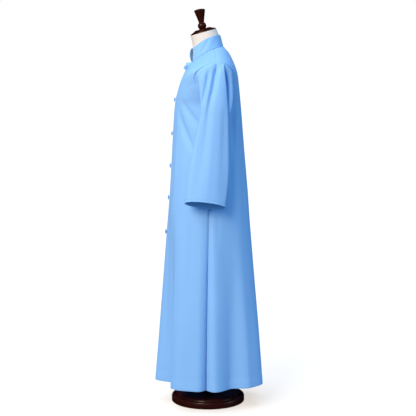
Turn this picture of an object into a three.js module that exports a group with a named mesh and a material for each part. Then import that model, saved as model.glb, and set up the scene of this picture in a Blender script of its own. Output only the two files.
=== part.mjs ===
// A choir cassock standing on a limbless dress form.
//
// Frame: millimetres, +Z up, -Y the front of the garment, +X the wearer's left.
// The origin is the centre of the stand's underside.
//
// The cloth panels are walls lofted through rings. A ring is a rounded closed curve
// round the body; its angle runs from 0 at centre front through 90 at the wearer's
// left side to 180 at centre back. The station says how far up the cloth a ring
// lies: it is the height up to the armpit and runs on over the shoulder to the neck.

import * as THREE from "three";

// ---------------------------------------------------------------- driving sizes

const CLOTH = 2; // wall of the cloth
const SEAM_GAP = 0.3; // between pieces that meet
const LAP_HALF = 22; // the left front passes centre front by this much
const HEM_Z = 89;
const NECK_STATION = 1550;
const SIDE = 90; // ring angle of the side seam

// Rings of the body of the cassock, without folds. The ring passes through the
// front, side and back points, each with its own height.
const BODY_RINGS = table(
  ["name", "station", "zFront", "zSide", "zBack", "halfWidth", "front", "back", "centre", "square", "seam"],
  [
    ["hem",    89,   89,   89,   89,   205, -205,   211.5,   -8, 2.1,  90],
    ["knee",   297,  297,  297,  297,  202, -192,   202.5,   -6, 2.1,  90],
    ["thigh",  499,  499,  499,  499,  198, -180,   190,   -3, 2.1,  90],
    ["hip",    700,  700,  700,  700,  194, -167,   176,   1,  2.15, 90],
    ["belly",  882,  882,  882,  882,  188, -156,   162,   5,  2.2,  90],
    ["waist",  1078, 1078, 1078, 1078, 181, -144,   145.5,   12, 2.3,  90],
    ["armpit", 1232, 1232, 1232, 1232, 175, -134,   133,   20, 2.5,  90],
    ["scye",   1270, 1263, 1274, 1268, 185, -128.5, 129.5, 23, 2.6,  90],
    ["chest",  1310, 1290, 1318, 1300, 196, -121,   126,   27, 2.7,  90],
    ["arm",    1370, 1327, 1386, 1350, 213, -109,   119.5,   33, 2.7,  90],
    ["cape",   1475, 1380, 1431, 1432, 132, -84,    88.5,    20, 2.15, 98],
    ["neck",   1550, 1400, 1444, 1465, 63,  -68,    62,  -1, 2,    114],
  ],
);

// Ridges (+) and valleys (-) that hang from the body, in order round the ring.
// angle and depth hold at the hem; the fold drifts to topAngle and dies at station top.
const BODY_FOLDS = table(
  ["name", "angle", "topAngle", "depth", "top", "crease"],
  [
    ["frontRidge",       0,    0,   15,  900,  0],
    ["leftFrontValley",  30,   28,  -60, 800,  0],
    ["leftFrontCrest",   44.5, 42,  2,   820,  0.5],
    ["leftFrontRound",   55,   55,  9,   900,  0],
    ["leftFrontFlat",    70,   70,  2,   900,  0],
    ["leftSeamRidge",    80,   78,  2,   1100, 0],
    ["leftSideValley",   90,   90,  -22, 1180, 1.4],
    ["leftBackRidge",    99,   98,  10,  1000, 0],
    ["leftBackValley",   119,  112, -23, 900,  0],
    ["leftBackRound",    140,  138, 15,  900,  0],
    ["leftTailRidge",    159,  157, 26,  900,  0],
    ["tailValley",       180,  180, -18, 860,  0.8],
    ["rightTailRidge",   203,  204, 21,  870,  0],
    ["rightBackRound",   221,  223, 9,   900,  0],
    ["rightBackValley",  243,  249, -21, 860,  0],
    ["rightBackRidge",   260,  261, 11,  1000, 0],
    ["rightSideValley",  270,  270, -20, 1180, 1.4],
    ["rightSeamRidge",   281,  282, 3,   1100, 0],
    ["rightFrontFlat",   292,  292, 1,   900,  0],
    ["rightFrontRound",  306,  306, 10,  880,  0],
    ["rightFrontCrest",  317,  319, 3,   800,  0.5],
    ["rightFrontValley", 331,  333, -52, 770,  0],
  ],
);

// Troughs that drape slantwise across the chest, from a point near the bust down to
// the underarm. Angles are for the left side; the right side has them reversed.
const CHEST_DRAPES = table(
  ["name", "fromAngle", "fromStation", "toAngle", "toStation", "depth", "width"],
  [
    ["high", 40, 1258, 72, 1150, 8, 5],
    ["low",  32, 1225, 62, 1065, 9, 5.5],
  ],
);

const NECK_PULL = { reach: 20, depth: 20, fade: 110 }; // the unfastened neck edge pokes forward

// The armhole is an egg in angle and station round its middle; scoop hollows its lower front.
const ARMHOLE = { station: 1350, up: 53, down: 100, toFront: 32.5, toBack: 44, scoop: 2.2 };

// Rings of the hanging sleeve, given for the left arm. lift is the rise from the
// inner side to the outer, and fall from the back to the front, both per mm.
const SLEEVE_RINGS = table(
  ["name", "z", "x", "y", "halfX", "halfY", "lift", "fall"],
  [
    ["bicep", 1200, 219, 24,    31,   60,   0.25, 0],
    ["elbow", 1079, 224, 14,    32,   70.5, 0.3,  0.03],
    ["fore",  974,  229, 4,     33,   78.5, 0.37, 0.06],
    ["wrist", 890,  233, -6,    33.5, 80.5, 0.44, 0.1],
    ["cuff",  846,  235, -11.5, 34,   80,   0.48, 0.11],
  ],
);
const SLEEVE_RISE = { underarm: 10, side: 10, shoulder: 95 }; // how far the head leaves the armhole
const SLEEVE_DROP = { underarm: 30, side: 70, shoulder: 120 }; // how early it hangs straight
const SLEEVE_TWIST = 24; // the head's front turns this far outwards on its way down

// Pleats and troughs of a sleeve: their turn at the armhole, halfway to the bicep, at the
// bicep and at the cuff, their half widths towards the front and the back, and the rows
// between which they run (0 armhole, 1 bicep, 2 cuff).
const SLEEVE_FOLDS = table(
  ["name", "head", "crown", "bicep", "cuff", "depth", "toFront", "toBack", "start", "peak", "end"],
  [
    ["frontHollow", 75,  80,  85,   90,  -18.5, 42, 22,  0,    0.45, 1.35],
    ["frontSoft",   13,  30,  60,   68,  -13,   7,  8,   0.12, 0.42, 0.96],
    ["frontPleat",  -4,  5.5, 24,   28,  -15,   8,  10,  0,    0.32, 1.2],
    ["frontTrough", 10,  16,  25,   29,  -2.2,  13, 13,  0.6,  1.15, 2.3],
    ["capPleat",    -14, -14, -15,  -16, -4,    4,  3.5, 0,    0.12, 0.36],
    ["capTuck",     -22, -24, -26,  -28, -4,    4,  3.5, 0,    0.1,  0.3],
    ["backPleat",   -34, -60, -82,  -96, -46,   8,  12,  0.01, 0.46, 1.5],
    ["backRound",   -94, -98, -106, -95, 10,    14, 30,  0.15, 0.7,  1.12],
    ["backSoft",    -36, -38, -42,  -44, -4,    14, 16,  0.6,  1.3,  2.2],
  ],
);
const CAP_END = 0.45; // down to this row the folds are pushed square to the cap

// The standing collar: its top edge, in the terms of the body rings.
const COLLAR_TOP = {
  zFront: 1455, zSide: 1494, zBack: 1511,
  halfWidth: 60, front: -64, back: 49.5, centre: -8, square: 2,
};
const COLLAR_ENDS = { left: 24, right: -9 }; // ring angles of its two front ends
const COLLAR_END_FLARE = 10; // the right end springs forward

const BUTTON = { radius: 9.6, edge: 1.1, dome: 2.9, shank: 1.8, shankRadius: 3.5 };
// Each button's height, its place left of centre front and its lean to the left.
const BUTTONS = [
  { z: 1377, x: 34, lean: 34 },
  { z: 1251, x: 8, lean: 10 },
  { z: 1115, x: 8, lean: 9 },
  { z: 983, x: 8, lean: 11 },
  { z: 853, x: 8, lean: 8 },
  { z: 712, x: 8, lean: 10 },
];

// The dress form.
const FORM_CLEARANCE = { shoulder: 1, front: 9, back: 5 };
const FORM_RINGS = table(
  ["name", "station", "zFront", "zSide", "zBack", "halfWidth", "front", "back", "centre", "square"],
  [
    ["foot",  745,  745,  745,  745,  140, -96,  100, 2,  2.2],
    ["seat",  850,  850,  850,  850,  158, -108, 118, 4,  2.2],
    ["waist", 1040, 1040, 1040, 1040, 122, -96,  86,  0,  2.2],
    ["bust",  1205, 1205, 1205, 1205, 150, -120, 104, 4,  2.3],
    ["plate", 1310, 1285, 1310, 1300, 166, -108, 108, 20, 2.5],
  ],
);
const FORM_NECK = table(
  ["name", "zFront", "zSide", "zBack", "halfWidth", "front", "back", "centre", "square"],
  [
    ["root", 1406, 1448, 1469, 57, -61, 54.5, -2,  2],
    ["mid",  1459, 1489, 1513, 54, -61, 43,   -9,  2],
    ["top",  1507, 1521, 1536, 52, -70, 32,   -19, 2],
  ],
);
const FORM_STATIONS = [1408, 1430, 1465, 1508, 1530, 1550];

// Turned wood: radius and height pairs, from the axis at the bottom to the axis at the top.
const NECK_CAP = {
  tilt: 15.8,
  centre: [0, -19.2, 1522.2],
  profile: [[0, 0], [52.8, 0], [53.6, 1.2], [53, 3], [44, 6.2], [35, 10.4], [30.5, 12.8], [28, 13],
    [19, 9], [14.6, 5], [0, 5]],
};
const FINIAL = {
  tilt: 9.3,
  centre: [0, -21.0, 1528.8],
  profile: [[0, 0], [13.6, 0], [12.6, 3], [13, 6.4], [16, 12], [17.3, 18.5], [16, 25], [12.6, 29.6], [10, 31.6],
    [11, 34], [12, 38], [15.2, 52], [18.4, 64], [22, 78.4], [22.4, 81], [21.2, 83], [12, 85.8], [0, 86.8]],
};
const STAND = {
  profile: [[0, 0], [148.5, 0], [151, 2.5], [151, 21], [149, 26], [144.5, 28.3], [137, 27.2], [132.6, 24.8],
    [131.4, 29], [128.6, 33], [123, 35.8], [90, 41], [52, 48], [34, 54], [30, 60], [30, 70], [27, 73], [0, 73]],
};
const POLE_RADIUS = 15;
const PLATE = { radius: 92, thick: 8 }; // the board under the torso

const CLOTH_COLOUR = 0x74b2f7;
const BUTTON_COLOUR = 0x5d9cea;
const LINEN_COLOUR = 0xe9e2d8;
const WOOD_COLOUR = 0x3a1d14;
const STEEL_COLOUR = 0x8d8f92;

// ---------------------------------------------------------------- small helpers

const rad = THREE.MathUtils.degToRad;
const lerp = THREE.MathUtils.lerp;
const clamp = THREE.MathUtils.clamp;

// The rows of a table as objects, by the names of its columns.
function table(columns, rows) {
  return rows.map((row) => Object.fromEntries(row.map((value, i) => [columns[i], value])));
}

// Smooth monotone curve through (xs, ys), with no overshoot between them.
function monotoneCurve(xs, ys) {
  const steps = xs.slice(1).map((x, i) => (ys[i + 1] - ys[i]) / (x - xs[i]));
  const slopes = xs.map((_, i) => {
    if (i === 0) return steps[0];
    if (i === xs.length - 1) return steps[i - 1];
    const [a, b] = [steps[i - 1], steps[i]];
    return a * b <= 0 ? 0 : (2 * a * b) / (a + b);
  });
  return (x) => {
    const t = clamp(x, xs[0], xs[xs.length - 1]);
    let i = 0;
    while (i < xs.length - 2 && t > xs[i + 1]) i++;
    const h = xs[i + 1] - xs[i];
    const k = (t - xs[i]) / h;
    return hermite(ys[i], ys[i + 1], slopes[i] * h, slopes[i + 1] * h, k);
  };
}

function hermite(a, b, slopeA, slopeB, t) {
  const t2 = t * t;
  const t3 = t2 * t;
  return a * (2 * t3 - 3 * t2 + 1) + slopeA * (t3 - 2 * t2 + t) + b * (3 * t2 - 2 * t3) + slopeB * (t3 - t2);
}

// One curve for each number column of a table, all against the column named key.
function tableCurves(rows, key) {
  const xs = rows.map((row) => row[key]);
  const columns = Object.keys(rows[0]).filter((c) => typeof rows[0][c] === "number");
  const curves = columns.map((c) => [c, monotoneCurve(xs, rows.map((row) => row[c]))]);
  return (x) => Object.fromEntries(curves.map(([c, curve]) => [c, curve(x)]));
}

// 0 outside the range, 1 at the peak, smooth between.
function hump(x, start, peak, end) {
  if (x <= start || x >= end) return 0;
  const t = x < peak ? (x - start) / (peak - start) : (end - x) / (end - peak);
  return t * t * (3 - 2 * t);
}

const angleBetween = (a, b) => ((a - b + 540) % 360) - 180;

// ---------------------------------------------------------------- body surface

const bodyRing = tableCurves(BODY_RINGS, "station");

// A point of a ring at an angle, pushed out from the ring's middle by offset.
function ringPoint(ring, angle, offset = 0) {
  const c = Math.cos(rad(angle));
  const s = Math.sin(rad(angle));
  const round = (Math.abs(c) ** ring.square + Math.abs(s) ** ring.square) ** (-1 / ring.square);
  const depth = c > 0 ? ring.centre - ring.front : ring.back - ring.centre;
  const x = ring.halfWidth * s * round;
  const y = -depth * c * round;
  const grow = 1 + offset / Math.hypot(x, y);
  const middle = (ring.zFront + ring.zBack) / 2;
  const z = middle + ((ring.zFront - ring.zBack) / 2) * c + (ring.zSide - middle) * s * s;
  return new THREE.Vector3(x * grow, ring.centre + y * grow, z);
}

// The folds' push at an angle: a smooth curve through the ridges and valleys.
function foldOffset(angle, station) {
  const knots = BODY_FOLDS.map((fold) => {
    const t = clamp((station - HEM_Z) / (fold.top - HEM_Z), 0, 1);
    const angle = lerp(fold.angle, fold.topAngle, t);
    return { angle, depth: fold.depth * (1 - t) ** 1.15, crease: fold.crease };
  });
  const turn = ((angle % 360) + 360) % 360;
  let i = knots.length - 1;
  while (knots[i].angle > turn) i--;
  const a = knots[i];
  const b = knots[(i + 1) % knots.length];
  const span = (b.angle - a.angle + 360) % 360;
  const rise = b.depth - a.depth;
  return hermite(a.depth, b.depth, rise * a.crease, rise * b.crease, (turn - a.angle) / span);
}

function drapeOffset(angle, station) {
  const side = Math.abs(angleBetween(angle, 0));
  return CHEST_DRAPES.reduce((sum, d) => {
    const along = (d.fromStation - station) / (d.fromStation - d.toStation);
    const across = (side - lerp(d.fromAngle, d.toAngle, along)) / d.width;
    return sum - d.depth * hump(along, -0.15, 0.75, 1.3) * Math.exp(-across * across);
  }, 0);
}

function neckPull(angle, station) {
  const rise = clamp((station - NECK_STATION + NECK_PULL.fade) / NECK_PULL.fade, 0, 1);
  const near = clamp(1 - Math.abs(angleBetween(angle, 0)) / NECK_PULL.reach, 0, 1);
  return NECK_PULL.depth * rise * near * near * (3 - 2 * near);
}

function bodyPoint(angle, station) {
  const offset = foldOffset(angle, station) + drapeOffset(angle, station) + neckPull(angle, station);
  return ringPoint(bodyRing(station), angle, offset);
}

// Outward normal of the body's cloth.
function bodyNormal(angle, station) {
  const around = bodyPoint(angle + 0.5, station).sub(bodyPoint(angle - 0.5, station));
  const up = bodyPoint(angle, station + 0.5).sub(bodyPoint(angle, station - 0.5));
  return around.cross(up).normalize();
}

// The armhole's edge at a turn round it: 0 at the shoulder, 90 at the front, 180 at
// the underarm and 270 at the back.
function armholeAt(turn) {
  const c = Math.cos(rad(turn));
  const s = Math.sin(rad(turn));
  const reach = s > 0 ? ARMHOLE.toFront * (c < 0 ? s ** ARMHOLE.scoop : s) : ARMHOLE.toBack * s;
  return { angle: SIDE - reach, station: ARMHOLE.station + (c > 0 ? ARMHOLE.up : ARMHOLE.down) * c };
}

// ---------------------------------------------------------------- walls

const ARMHOLE_STEPS = 12; // rows of the panels across the armhole
const SKIRT_STATIONS = [89, 160, 270, 390, 510, 630, 750, 860, 960, 1050, 1130, 1190, 1225];
const SHOULDER_STATIONS = [1430, 1465, 1508, 1550];

// A row of a panel has its station in the middle of the panel, and its turn where its
// end lies on the armhole.
const armholeRow = (i) => ({
  station: ARMHOLE.station - ARMHOLE.down + ((ARMHOLE.up + ARMHOLE.down) * i) / ARMHOLE_STEPS,
  turn: 180 - (i * 180) / ARMHOLE_STEPS,
});
const PANEL_ROWS = [
  ...SKIRT_STATIONS.map((station) => ({ station })),
  ...Array.from({ length: ARMHOLE_STEPS + 1 }, (_, i) => armholeRow(i)),
  ...SHOULDER_STATIONS.map((station) => ({ station })),
];

// Outward normals of a grid of points, from its neighbours along and across.
function gridNormals(grid, closed) {
  const rows = grid.length;
  const cols = grid[0].length;
  return grid.map((row, i) =>
    row.map((_, j) => {
      const before = closed ? (j - 1 + cols) % cols : Math.max(j - 1, 0);
      const after = closed ? (j + 1) % cols : Math.min(j + 1, cols - 1);
      const across = grid[i][after].clone().sub(grid[i][before]);
      const up = grid[Math.min(i + 1, rows - 1)][j].clone().sub(grid[Math.max(i - 1, 0)][j]);
      return across.cross(up).normalize();
    }),
  );
}

// A closed wall between an outer and an inner grid of points. Rows run up the
// piece; closed joins the last column to the first.
function wallGeometry(outer, inner, closed) {
  const rows = outer.length;
  const cols = outer[0].length;
  const points = [...outer.flat(), ...inner.flat()];
  const at = (layer, i, j) => layer * rows * cols + i * cols + (j % cols);
  const faces = [];
  const quad = (a, b, c, d) => faces.push(a, b, c, a, c, d);
  const spans = closed ? cols : cols - 1;
  for (let i = 0; i < rows - 1; i++)
    for (let j = 0; j < spans; j++) {
      quad(at(0, i, j), at(0, i, j + 1), at(0, i + 1, j + 1), at(0, i + 1, j));
      quad(at(1, i, j), at(1, i + 1, j), at(1, i + 1, j + 1), at(1, i, j + 1));
    }
  for (let j = 0; j < spans; j++) {
    quad(at(0, 0, j + 1), at(0, 0, j), at(1, 0, j), at(1, 0, j + 1));
    quad(at(0, rows - 1, j), at(0, rows - 1, j + 1), at(1, rows - 1, j + 1), at(1, rows - 1, j));
  }
  if (!closed)
    for (let i = 0; i < rows - 1; i++) {
      quad(at(0, i, 0), at(0, i + 1, 0), at(1, i + 1, 0), at(1, i, 0));
      quad(at(0, i + 1, cols - 1), at(0, i, cols - 1), at(1, i, cols - 1), at(1, i + 1, cols - 1));
    }
  return new THREE.BufferGeometry().setFromPoints(points).setIndex(faces);
}

// A solid of rings stacked from the bottom up, closed by a fan at each end.
function ringsGeometry(rings) {
  const cols = rings[0].length;
  const points = rings.flat();
  const faces = [];
  for (let i = 0; i < rings.length - 1; i++)
    for (let j = 0; j < cols; j++) {
      const [a, b] = [i * cols + j, i * cols + ((j + 1) % cols)];
      faces.push(a, b, b + cols, a, b + cols, a + cols);
    }
  const middle = (ring) => ring.reduce((sum, p) => sum.add(p), new THREE.Vector3()).divideScalar(cols);
  const last = (rings.length - 1) * cols;
  const low = points.push(middle(rings[0])) - 1;
  const high = points.push(middle(rings[rings.length - 1])) - 1;
  for (let j = 0; j < cols; j++) {
    faces.push(low, (j + 1) % cols, j);
    faces.push(high, last + j, last + ((j + 1) % cols));
  }
  return new THREE.BufferGeometry().setFromPoints(points).setIndex(faces);
}

const thicken = (outer, closed) => {
  const normals = gridNormals(outer, closed);
  return outer.map((row, i) => row.map((p, j) => p.clone().addScaledVector(normals[i][j], -CLOTH)));
};

// ---------------------------------------------------------------- materials

const surface = (name, color, roughness, metalness = 0) =>
  new THREE.MeshStandardMaterial({ name, color, roughness, metalness });
const MATERIALS = {
  cassock: surface("cassock cloth", CLOTH_COLOUR, 0.8),
  button: surface("covered button", BUTTON_COLOUR, 0.8),
  linen: surface("form linen", LINEN_COLOUR, 0.8),
  wood: surface("dark turned wood", WOOD_COLOUR, 0.25),
  steel: surface("steel pole", STEEL_COLOUR, 0.3, 1),
};

function piece(name, geometry, material) {
  const mesh = new THREE.Mesh(geometry, material);
  mesh.name = name;
  return mesh;
}

// ---------------------------------------------------------------- panels

// Columns of a panel: the lap's, as shares of its angle, then those on to the side edge.
const LAP_COLUMNS = [-1, -0.5, 0, 0.5, 1];
const FRONT_COLUMNS = [0.12, 0.22, 0.31, 0.4, 0.48, 0.55, 0.65, 0.77, 0.84, 0.89, 0.95, 1];
const BACK_COLUMNS = [0.15, 0.24, 0.34, 0.45, 0.57, 0.66, 0.74, 0.82, 0.89, 0.95, 1];

const degrees = THREE.MathUtils.radToDeg;
const lapAngle = (station) => degrees(Math.asin(LAP_HALF / bodyRing(station).halfWidth));

// The ring angle that moves a point this far along its ring.
function angleFor(distance, angle, station) {
  return distance / bodyPoint(angle + 0.5, station).distanceTo(bodyPoint(angle - 0.5, station));
}

// Places along a row of a left half panel, from its middle line to its side edge; way
// is -1 towards the front and 1 towards the back.
function rowPlaces(row, middle, shares, way) {
  const side = bodyRing(row.station).seam;
  const edge = row.turn === undefined ? { angle: side, station: row.station } : armholeAt(-way * row.turn);
  return shares.map((t) => {
    const bend = t * t;
    const station = lerp(row.station, edge.station, bend);
    const angle = lerp(middle, side, t) + ((edge.angle - side) * (t + bend)) / 2;
    return { angle: angle + way * bend * angleFor(SEAM_GAP / 2, angle, station), station };
  });
}

// A wall of cloth over rows of places; tuck tells how far a place lies under.
function panelGeometry(rows, tuck = () => 0) {
  const layer = (depth) =>
    rows.map((row) =>
      row.map(({ angle, station }) => {
        const inwards = -depth - tuck(angle, station);
        return bodyPoint(angle, station).addScaledVector(bodyNormal(angle, station), inwards);
      }),
    );
  return wallGeometry(layer(0), layer(CLOTH), false);
}

const acrossBody = (place) => ({ ...place, angle: -place.angle });

// side is 1 for the wearer's left front and -1 for the right, which runs on under
// the left one, a wall and a gap further in.
function frontPanel(side) {
  const rows = PANEL_ROWS.map((row) => {
    const lap = lapAngle(row.station);
    const places = [
      ...LAP_COLUMNS.map((t) => ({ angle: t * lap, station: row.station })),
      ...rowPlaces(row, lap, FRONT_COLUMNS, -1),
    ];
    return side > 0 ? places : places.map(acrossBody).reverse();
  });
  if (side > 0) return panelGeometry(rows);
  const under = (angle, station) => clamp((angle / lapAngle(station) + 2.4) / 1.1, 0, 1);
  return panelGeometry(rows, (angle, station) => under(angle, station) * (CLOTH + 2 * SEAM_GAP));
}

function backPanel() {
  const rows = PANEL_ROWS.map((row) => {
    const left = rowPlaces(row, 180, BACK_COLUMNS, 1);
    const middle = { angle: 180, station: row.station };
    return [...left.toReversed(), middle, ...left.map((p) => ({ ...p, angle: 360 - p.angle }))];
  });
  return panelGeometry(rows);
}

function collar() {
  const steps = 22;
  const top = COLLAR_TOP;
  const bottom = bodyRing(NECK_STATION);
  const heights = [0, 0.35, 0.7, 1];
  const outer = heights.map((t) => {
    const ring = Object.fromEntries(Object.keys(top).map((c) => [c, lerp(bottom[c], top[c], t)]));
    const lift = 0.4 * (1 - t);
    return Array.from({ length: steps + 1 }, (_, j) => {
      const angle = lerp(COLLAR_ENDS.left, 360 + COLLAR_ENDS.right, j / steps);
      const end = clamp((angle - 300) / (60 + COLLAR_ENDS.right), 0, 1);
      const flare = COLLAR_END_FLARE * end * end * Math.sin(Math.PI * t * 0.8);
      const p = ringPoint(ring, angle, flare);
      p.z += lift;
      return p;
    });
  });
  return wallGeometry(outer, thicken(outer, false), false);
}

// ---------------------------------------------------------------- sleeves

const sleeveRing = tableCurves(
  SLEEVE_RINGS.map((ring, i) => ({ ...ring, row: 1 + i / (SLEEVE_RINGS.length - 1) })),
  "row",
);
const SLEEVE_ROWS = [0, 0.05, 0.13, 0.25, 0.4, 0.58, 0.78, 1, 1.2, 1.42, 1.68, 2];
const SLEEVE_MIDS = 90; // between armhole points this near the shoulder there is one more

// A value that goes from the underarm by the sides to the shoulder, at a turn.
function byTurn({ underarm, side, shoulder }, turn) {
  const c = Math.cos(rad(turn));
  return c > 0 ? lerp(side, shoulder, c ** 1.5) : lerp(side, underarm, -c);
}

// A point of the hanging part. turn is as round the armhole, 0 the outer side.
function sleeveRingPoint(ring, turn) {
  const dx = ring.halfX * Math.cos(rad(turn));
  const dy = -ring.halfY * Math.sin(rad(turn));
  return new THREE.Vector3(ring.x + dx, ring.y + dy, ring.z + ring.lift * dx - ring.fall * dy);
}

// Where the sleeve starts round the armhole, and the way it leaves the body: along
// the cloth at the shoulder, and straight out of it at the underarm.
function sleeveStart(turn) {
  const { angle, station } = armholeAt(turn);
  const point = bodyPoint(angle, station);
  const normal = bodyNormal(angle, station);
  const near = clamp((Math.cos(rad(turn)) - 0.55) / 0.4, 0, 1);
  const into = bodyPoint(SIDE, lerp(station, ARMHOLE.station, 0.9)).sub(point).normalize();
  into.lerp(new THREE.Vector3(0.94, 0, -0.34), near * near * (3 - 2 * near));
  into.projectOnPlane(normal).normalize();
  const lean = rad(byTurn({ underarm: 8, side: 45, shoulder: 90 }, turn));
  const away = normal.clone().multiplyScalar(Math.cos(lean)).addScaledVector(into, Math.sin(lean));
  const facing = normal.multiplyScalar(Math.sin(lean)).addScaledVector(into, -Math.cos(lean));
  return { point, away, facing };
}

const SLEEVE_MIDDLES = SLEEVE_FOLDS.map(({ head, crown, bicep, cuff }) =>
  monotoneCurve([0, 0.5, 1, 2], [head, crown, bicep, cuff]));

function sleeveFold(turn, row) {
  return SLEEVE_FOLDS.reduce((sum, fold, i) => {
    const off = angleBetween(turn, SLEEVE_MIDDLES[i](row));
    const across = off / (off > 0 ? fold.toFront : fold.toBack);
    return sum + fold.depth * hump(row, fold.start, fold.peak, fold.end) * Math.exp(-across * across);
  }, 0);
}

// The turns of the columns: the armhole's own points and, near the shoulder, the
// middles of the straight edges between them.
function sleeveColumns() {
  const step = 180 / ARMHOLE_STEPS;
  const columns = [];
  for (let i = 0; i < 2 * ARMHOLE_STEPS; i++) {
    const turn = i * step;
    columns.push({ turn, ends: [turn, turn] });
    if (Math.abs(angleBetween(turn + step / 2, 0)) < SLEEVE_MIDS)
      columns.push({ turn: turn + step / 2, ends: [turn, turn + step] });
  }
  return columns;
}

function leftSleeve() {
  const columns = sleeveColumns();
  const starts = columns.map(({ ends }) => {
    const [a, b] = ends.map(sleeveStart);
    return {
      point: a.point.add(b.point).multiplyScalar(0.5),
      away: a.away.add(b.away).normalize(),
      facing: a.facing.add(b.facing).normalize(),
    };
  });
  const outer = SLEEVE_ROWS.map((row) =>
    columns.map(({ turn }, j) => {
      const front = Math.max(Math.sin(rad(turn)), 0);
      const ringTurn = turn - SLEEVE_TWIST * front * front;
      const fold = sleeveFold(ringTurn, row);
      const level = Math.min(row / CAP_END, 1);
      const shift = new THREE.Vector3(Math.cos(rad(ringTurn)), -0.4 * Math.sin(rad(ringTurn)), 0).normalize();
      shift.lerp(starts[j].facing, 1 - level * level * (3 - 2 * level)).normalize();
      return sleevePoint(starts[j], ringTurn, turn, row).addScaledVector(shift, fold);
    }),
  );
  const inner = thicken(outer, true);
  starts.forEach(({ facing }, j) => inner[0][j].copy(outer[0][j]).addScaledVector(facing, -CLOTH));
  return wallGeometry(outer, inner, true);
}

// Without folds: from the armhole the sleeve swings out and down to its hanging part.
function sleevePoint({ point, away }, ringTurn, turn, row) {
  if (row > 1) return sleeveRingPoint(sleeveRing(row), ringTurn);
  const start = point.clone().addScaledVector(away, SEAM_GAP + 0.1);
  const end = sleeveRingPoint(sleeveRing(1), ringTurn);
  const rise = away.clone().multiplyScalar(byTurn(SLEEVE_RISE, turn));
  const drop = byTurn(SLEEVE_DROP, turn);
  return new THREE.Vector3(
    hermite(start.x, end.x, rise.x, 0, row),
    hermite(start.y, end.y, rise.y, 0, row),
    hermite(start.z, end.z, rise.z, -drop, row),
  );
}

// The same geometry on the other side of the body.
function mirrored(geometry) {
  const copy = geometry.clone().applyMatrix4(new THREE.Matrix4().makeScale(-1, 1, 1));
  const index = copy.index.array;
  for (let i = 0; i < index.length; i += 3) [index[i + 1], index[i + 2]] = [index[i + 2], index[i + 1]];
  return copy;
}

// ---------------------------------------------------------------- buttons

function turned(profile, segments) {
  const geometry = new THREE.LatheGeometry(profile.map(([r, h]) => new THREE.Vector2(r, h)), segments);
  return geometry.rotateX(Math.PI / 2); // the lathe's axis becomes +Z
}

// A covered button on its shank; the shank's end is the origin and +Z points out.
function buttonGeometry() {
  const { radius, edge, dome, shank, shankRadius } = BUTTON;
  const crown = [0, 35, 65].map((a) => [radius * Math.cos(rad(a)), shank + edge + dome * Math.sin(rad(a))]);
  const profile = [[0, 0], [shankRadius, 0], [shankRadius, shank], [radius * 0.93, shank], ...crown];
  return turned([...profile, [0, shank + edge + dome]], 14);
}

// The station whose ring has this height at centre front.
function stationAtFront(z) {
  let [low, high] = [HEM_Z, NECK_STATION];
  while (high - low > 0.01) {
    const middle = (low + high) / 2;
    if (bodyRing(middle).zFront < z) low = middle;
    else high = middle;
  }
  return low;
}

function button({ z, x, lean }, index) {
  const { radius, shank, shankRadius } = BUTTON;
  const station = stationAtFront(z);
  const angle = angleFor(x, 0, station);
  const normal = bodyNormal(angle, station);
  // Leaning, neither its edge nor its shank may touch the cloth.
  const lift = SEAM_GAP + Math.max(0.93 * radius * Math.sin(rad(lean)) - shank, shankRadius * Math.sin(rad(lean)));
  const mesh = piece(`button_${index + 1}`, buttonGeometry(), MATERIALS.button);
  mesh.position.copy(bodyPoint(angle, station)).addScaledVector(normal, lift + 0.1);
  mesh.quaternion.setFromUnitVectors(new THREE.Vector3(0, 0, 1), normal);
  mesh.rotateOnWorldAxis(new THREE.Vector3(0, 0, 1), rad(lean));
  return mesh;
}

// ---------------------------------------------------------------- dress form

function formTorso() {
  const steps = 32;
  const angles = Array.from({ length: steps }, (_, j) => (j * 360) / steps);
  const lower = tableCurves(FORM_RINGS, "station");
  const lowerStations = [745, 790, 850, 940, 1040, 1130, 1205, 1265, 1310];
  const lowerRings = lowerStations.map((station) => angles.map((a) => ringPoint(lower(station), a)));
  // Over the shoulders the form lies close under the cloth.
  const shoulderRings = FORM_STATIONS.map((station) =>
    angles.map((a) => {
      const c = Math.cos(rad(a));
      const middle = c > 0 ? FORM_CLEARANCE.front : FORM_CLEARANCE.back;
      const away = CLOTH + FORM_CLEARANCE.shoulder + middle * c * c;
      const at = (angle, s) => ringPoint(bodyRing(s), angle);
      const normal = at(a + 1, station).sub(at(a - 1, station)).cross(at(a, station + 1).sub(at(a, station - 3)));
      return at(a, station).addScaledVector(normal.normalize(), -away);
    }),
  );
  const neckRings = FORM_NECK.map((ring) => angles.map((a) => ringPoint(ring, a)));
  return ringsGeometry([...lowerRings, ...shoulderRings, ...neckRings]);
}

function turnedPiece(name, { profile, centre = [0, 0, 0], tilt = 0 }, material, segments) {
  const mesh = piece(name, turned(profile, segments), material);
  mesh.position.set(...centre);
  mesh.rotation.x = rad(tilt);
  return mesh;
}

function pole() {
  const low = STAND.profile[STAND.profile.length - 1][1] + SEAM_GAP;
  const high = FORM_RINGS[0].zFront - PLATE.thick - 2 * SEAM_GAP;
  const geometry = new THREE.CylinderGeometry(POLE_RADIUS, POLE_RADIUS, high - low, 20).rotateX(Math.PI / 2);
  const mesh = piece("stand_pole", geometry, MATERIALS.steel);
  mesh.position.z = (low + high) / 2;
  return mesh;
}

function footPlate() {
  const geometry = new THREE.CylinderGeometry(PLATE.radius, PLATE.radius, PLATE.thick, 32).rotateX(Math.PI / 2);
  const mesh = piece("form_plate", geometry, MATERIALS.wood);
  mesh.position.z = FORM_RINGS[0].zFront - SEAM_GAP - PLATE.thick / 2;
  return mesh;
}

// ---------------------------------------------------------------- the object

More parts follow.
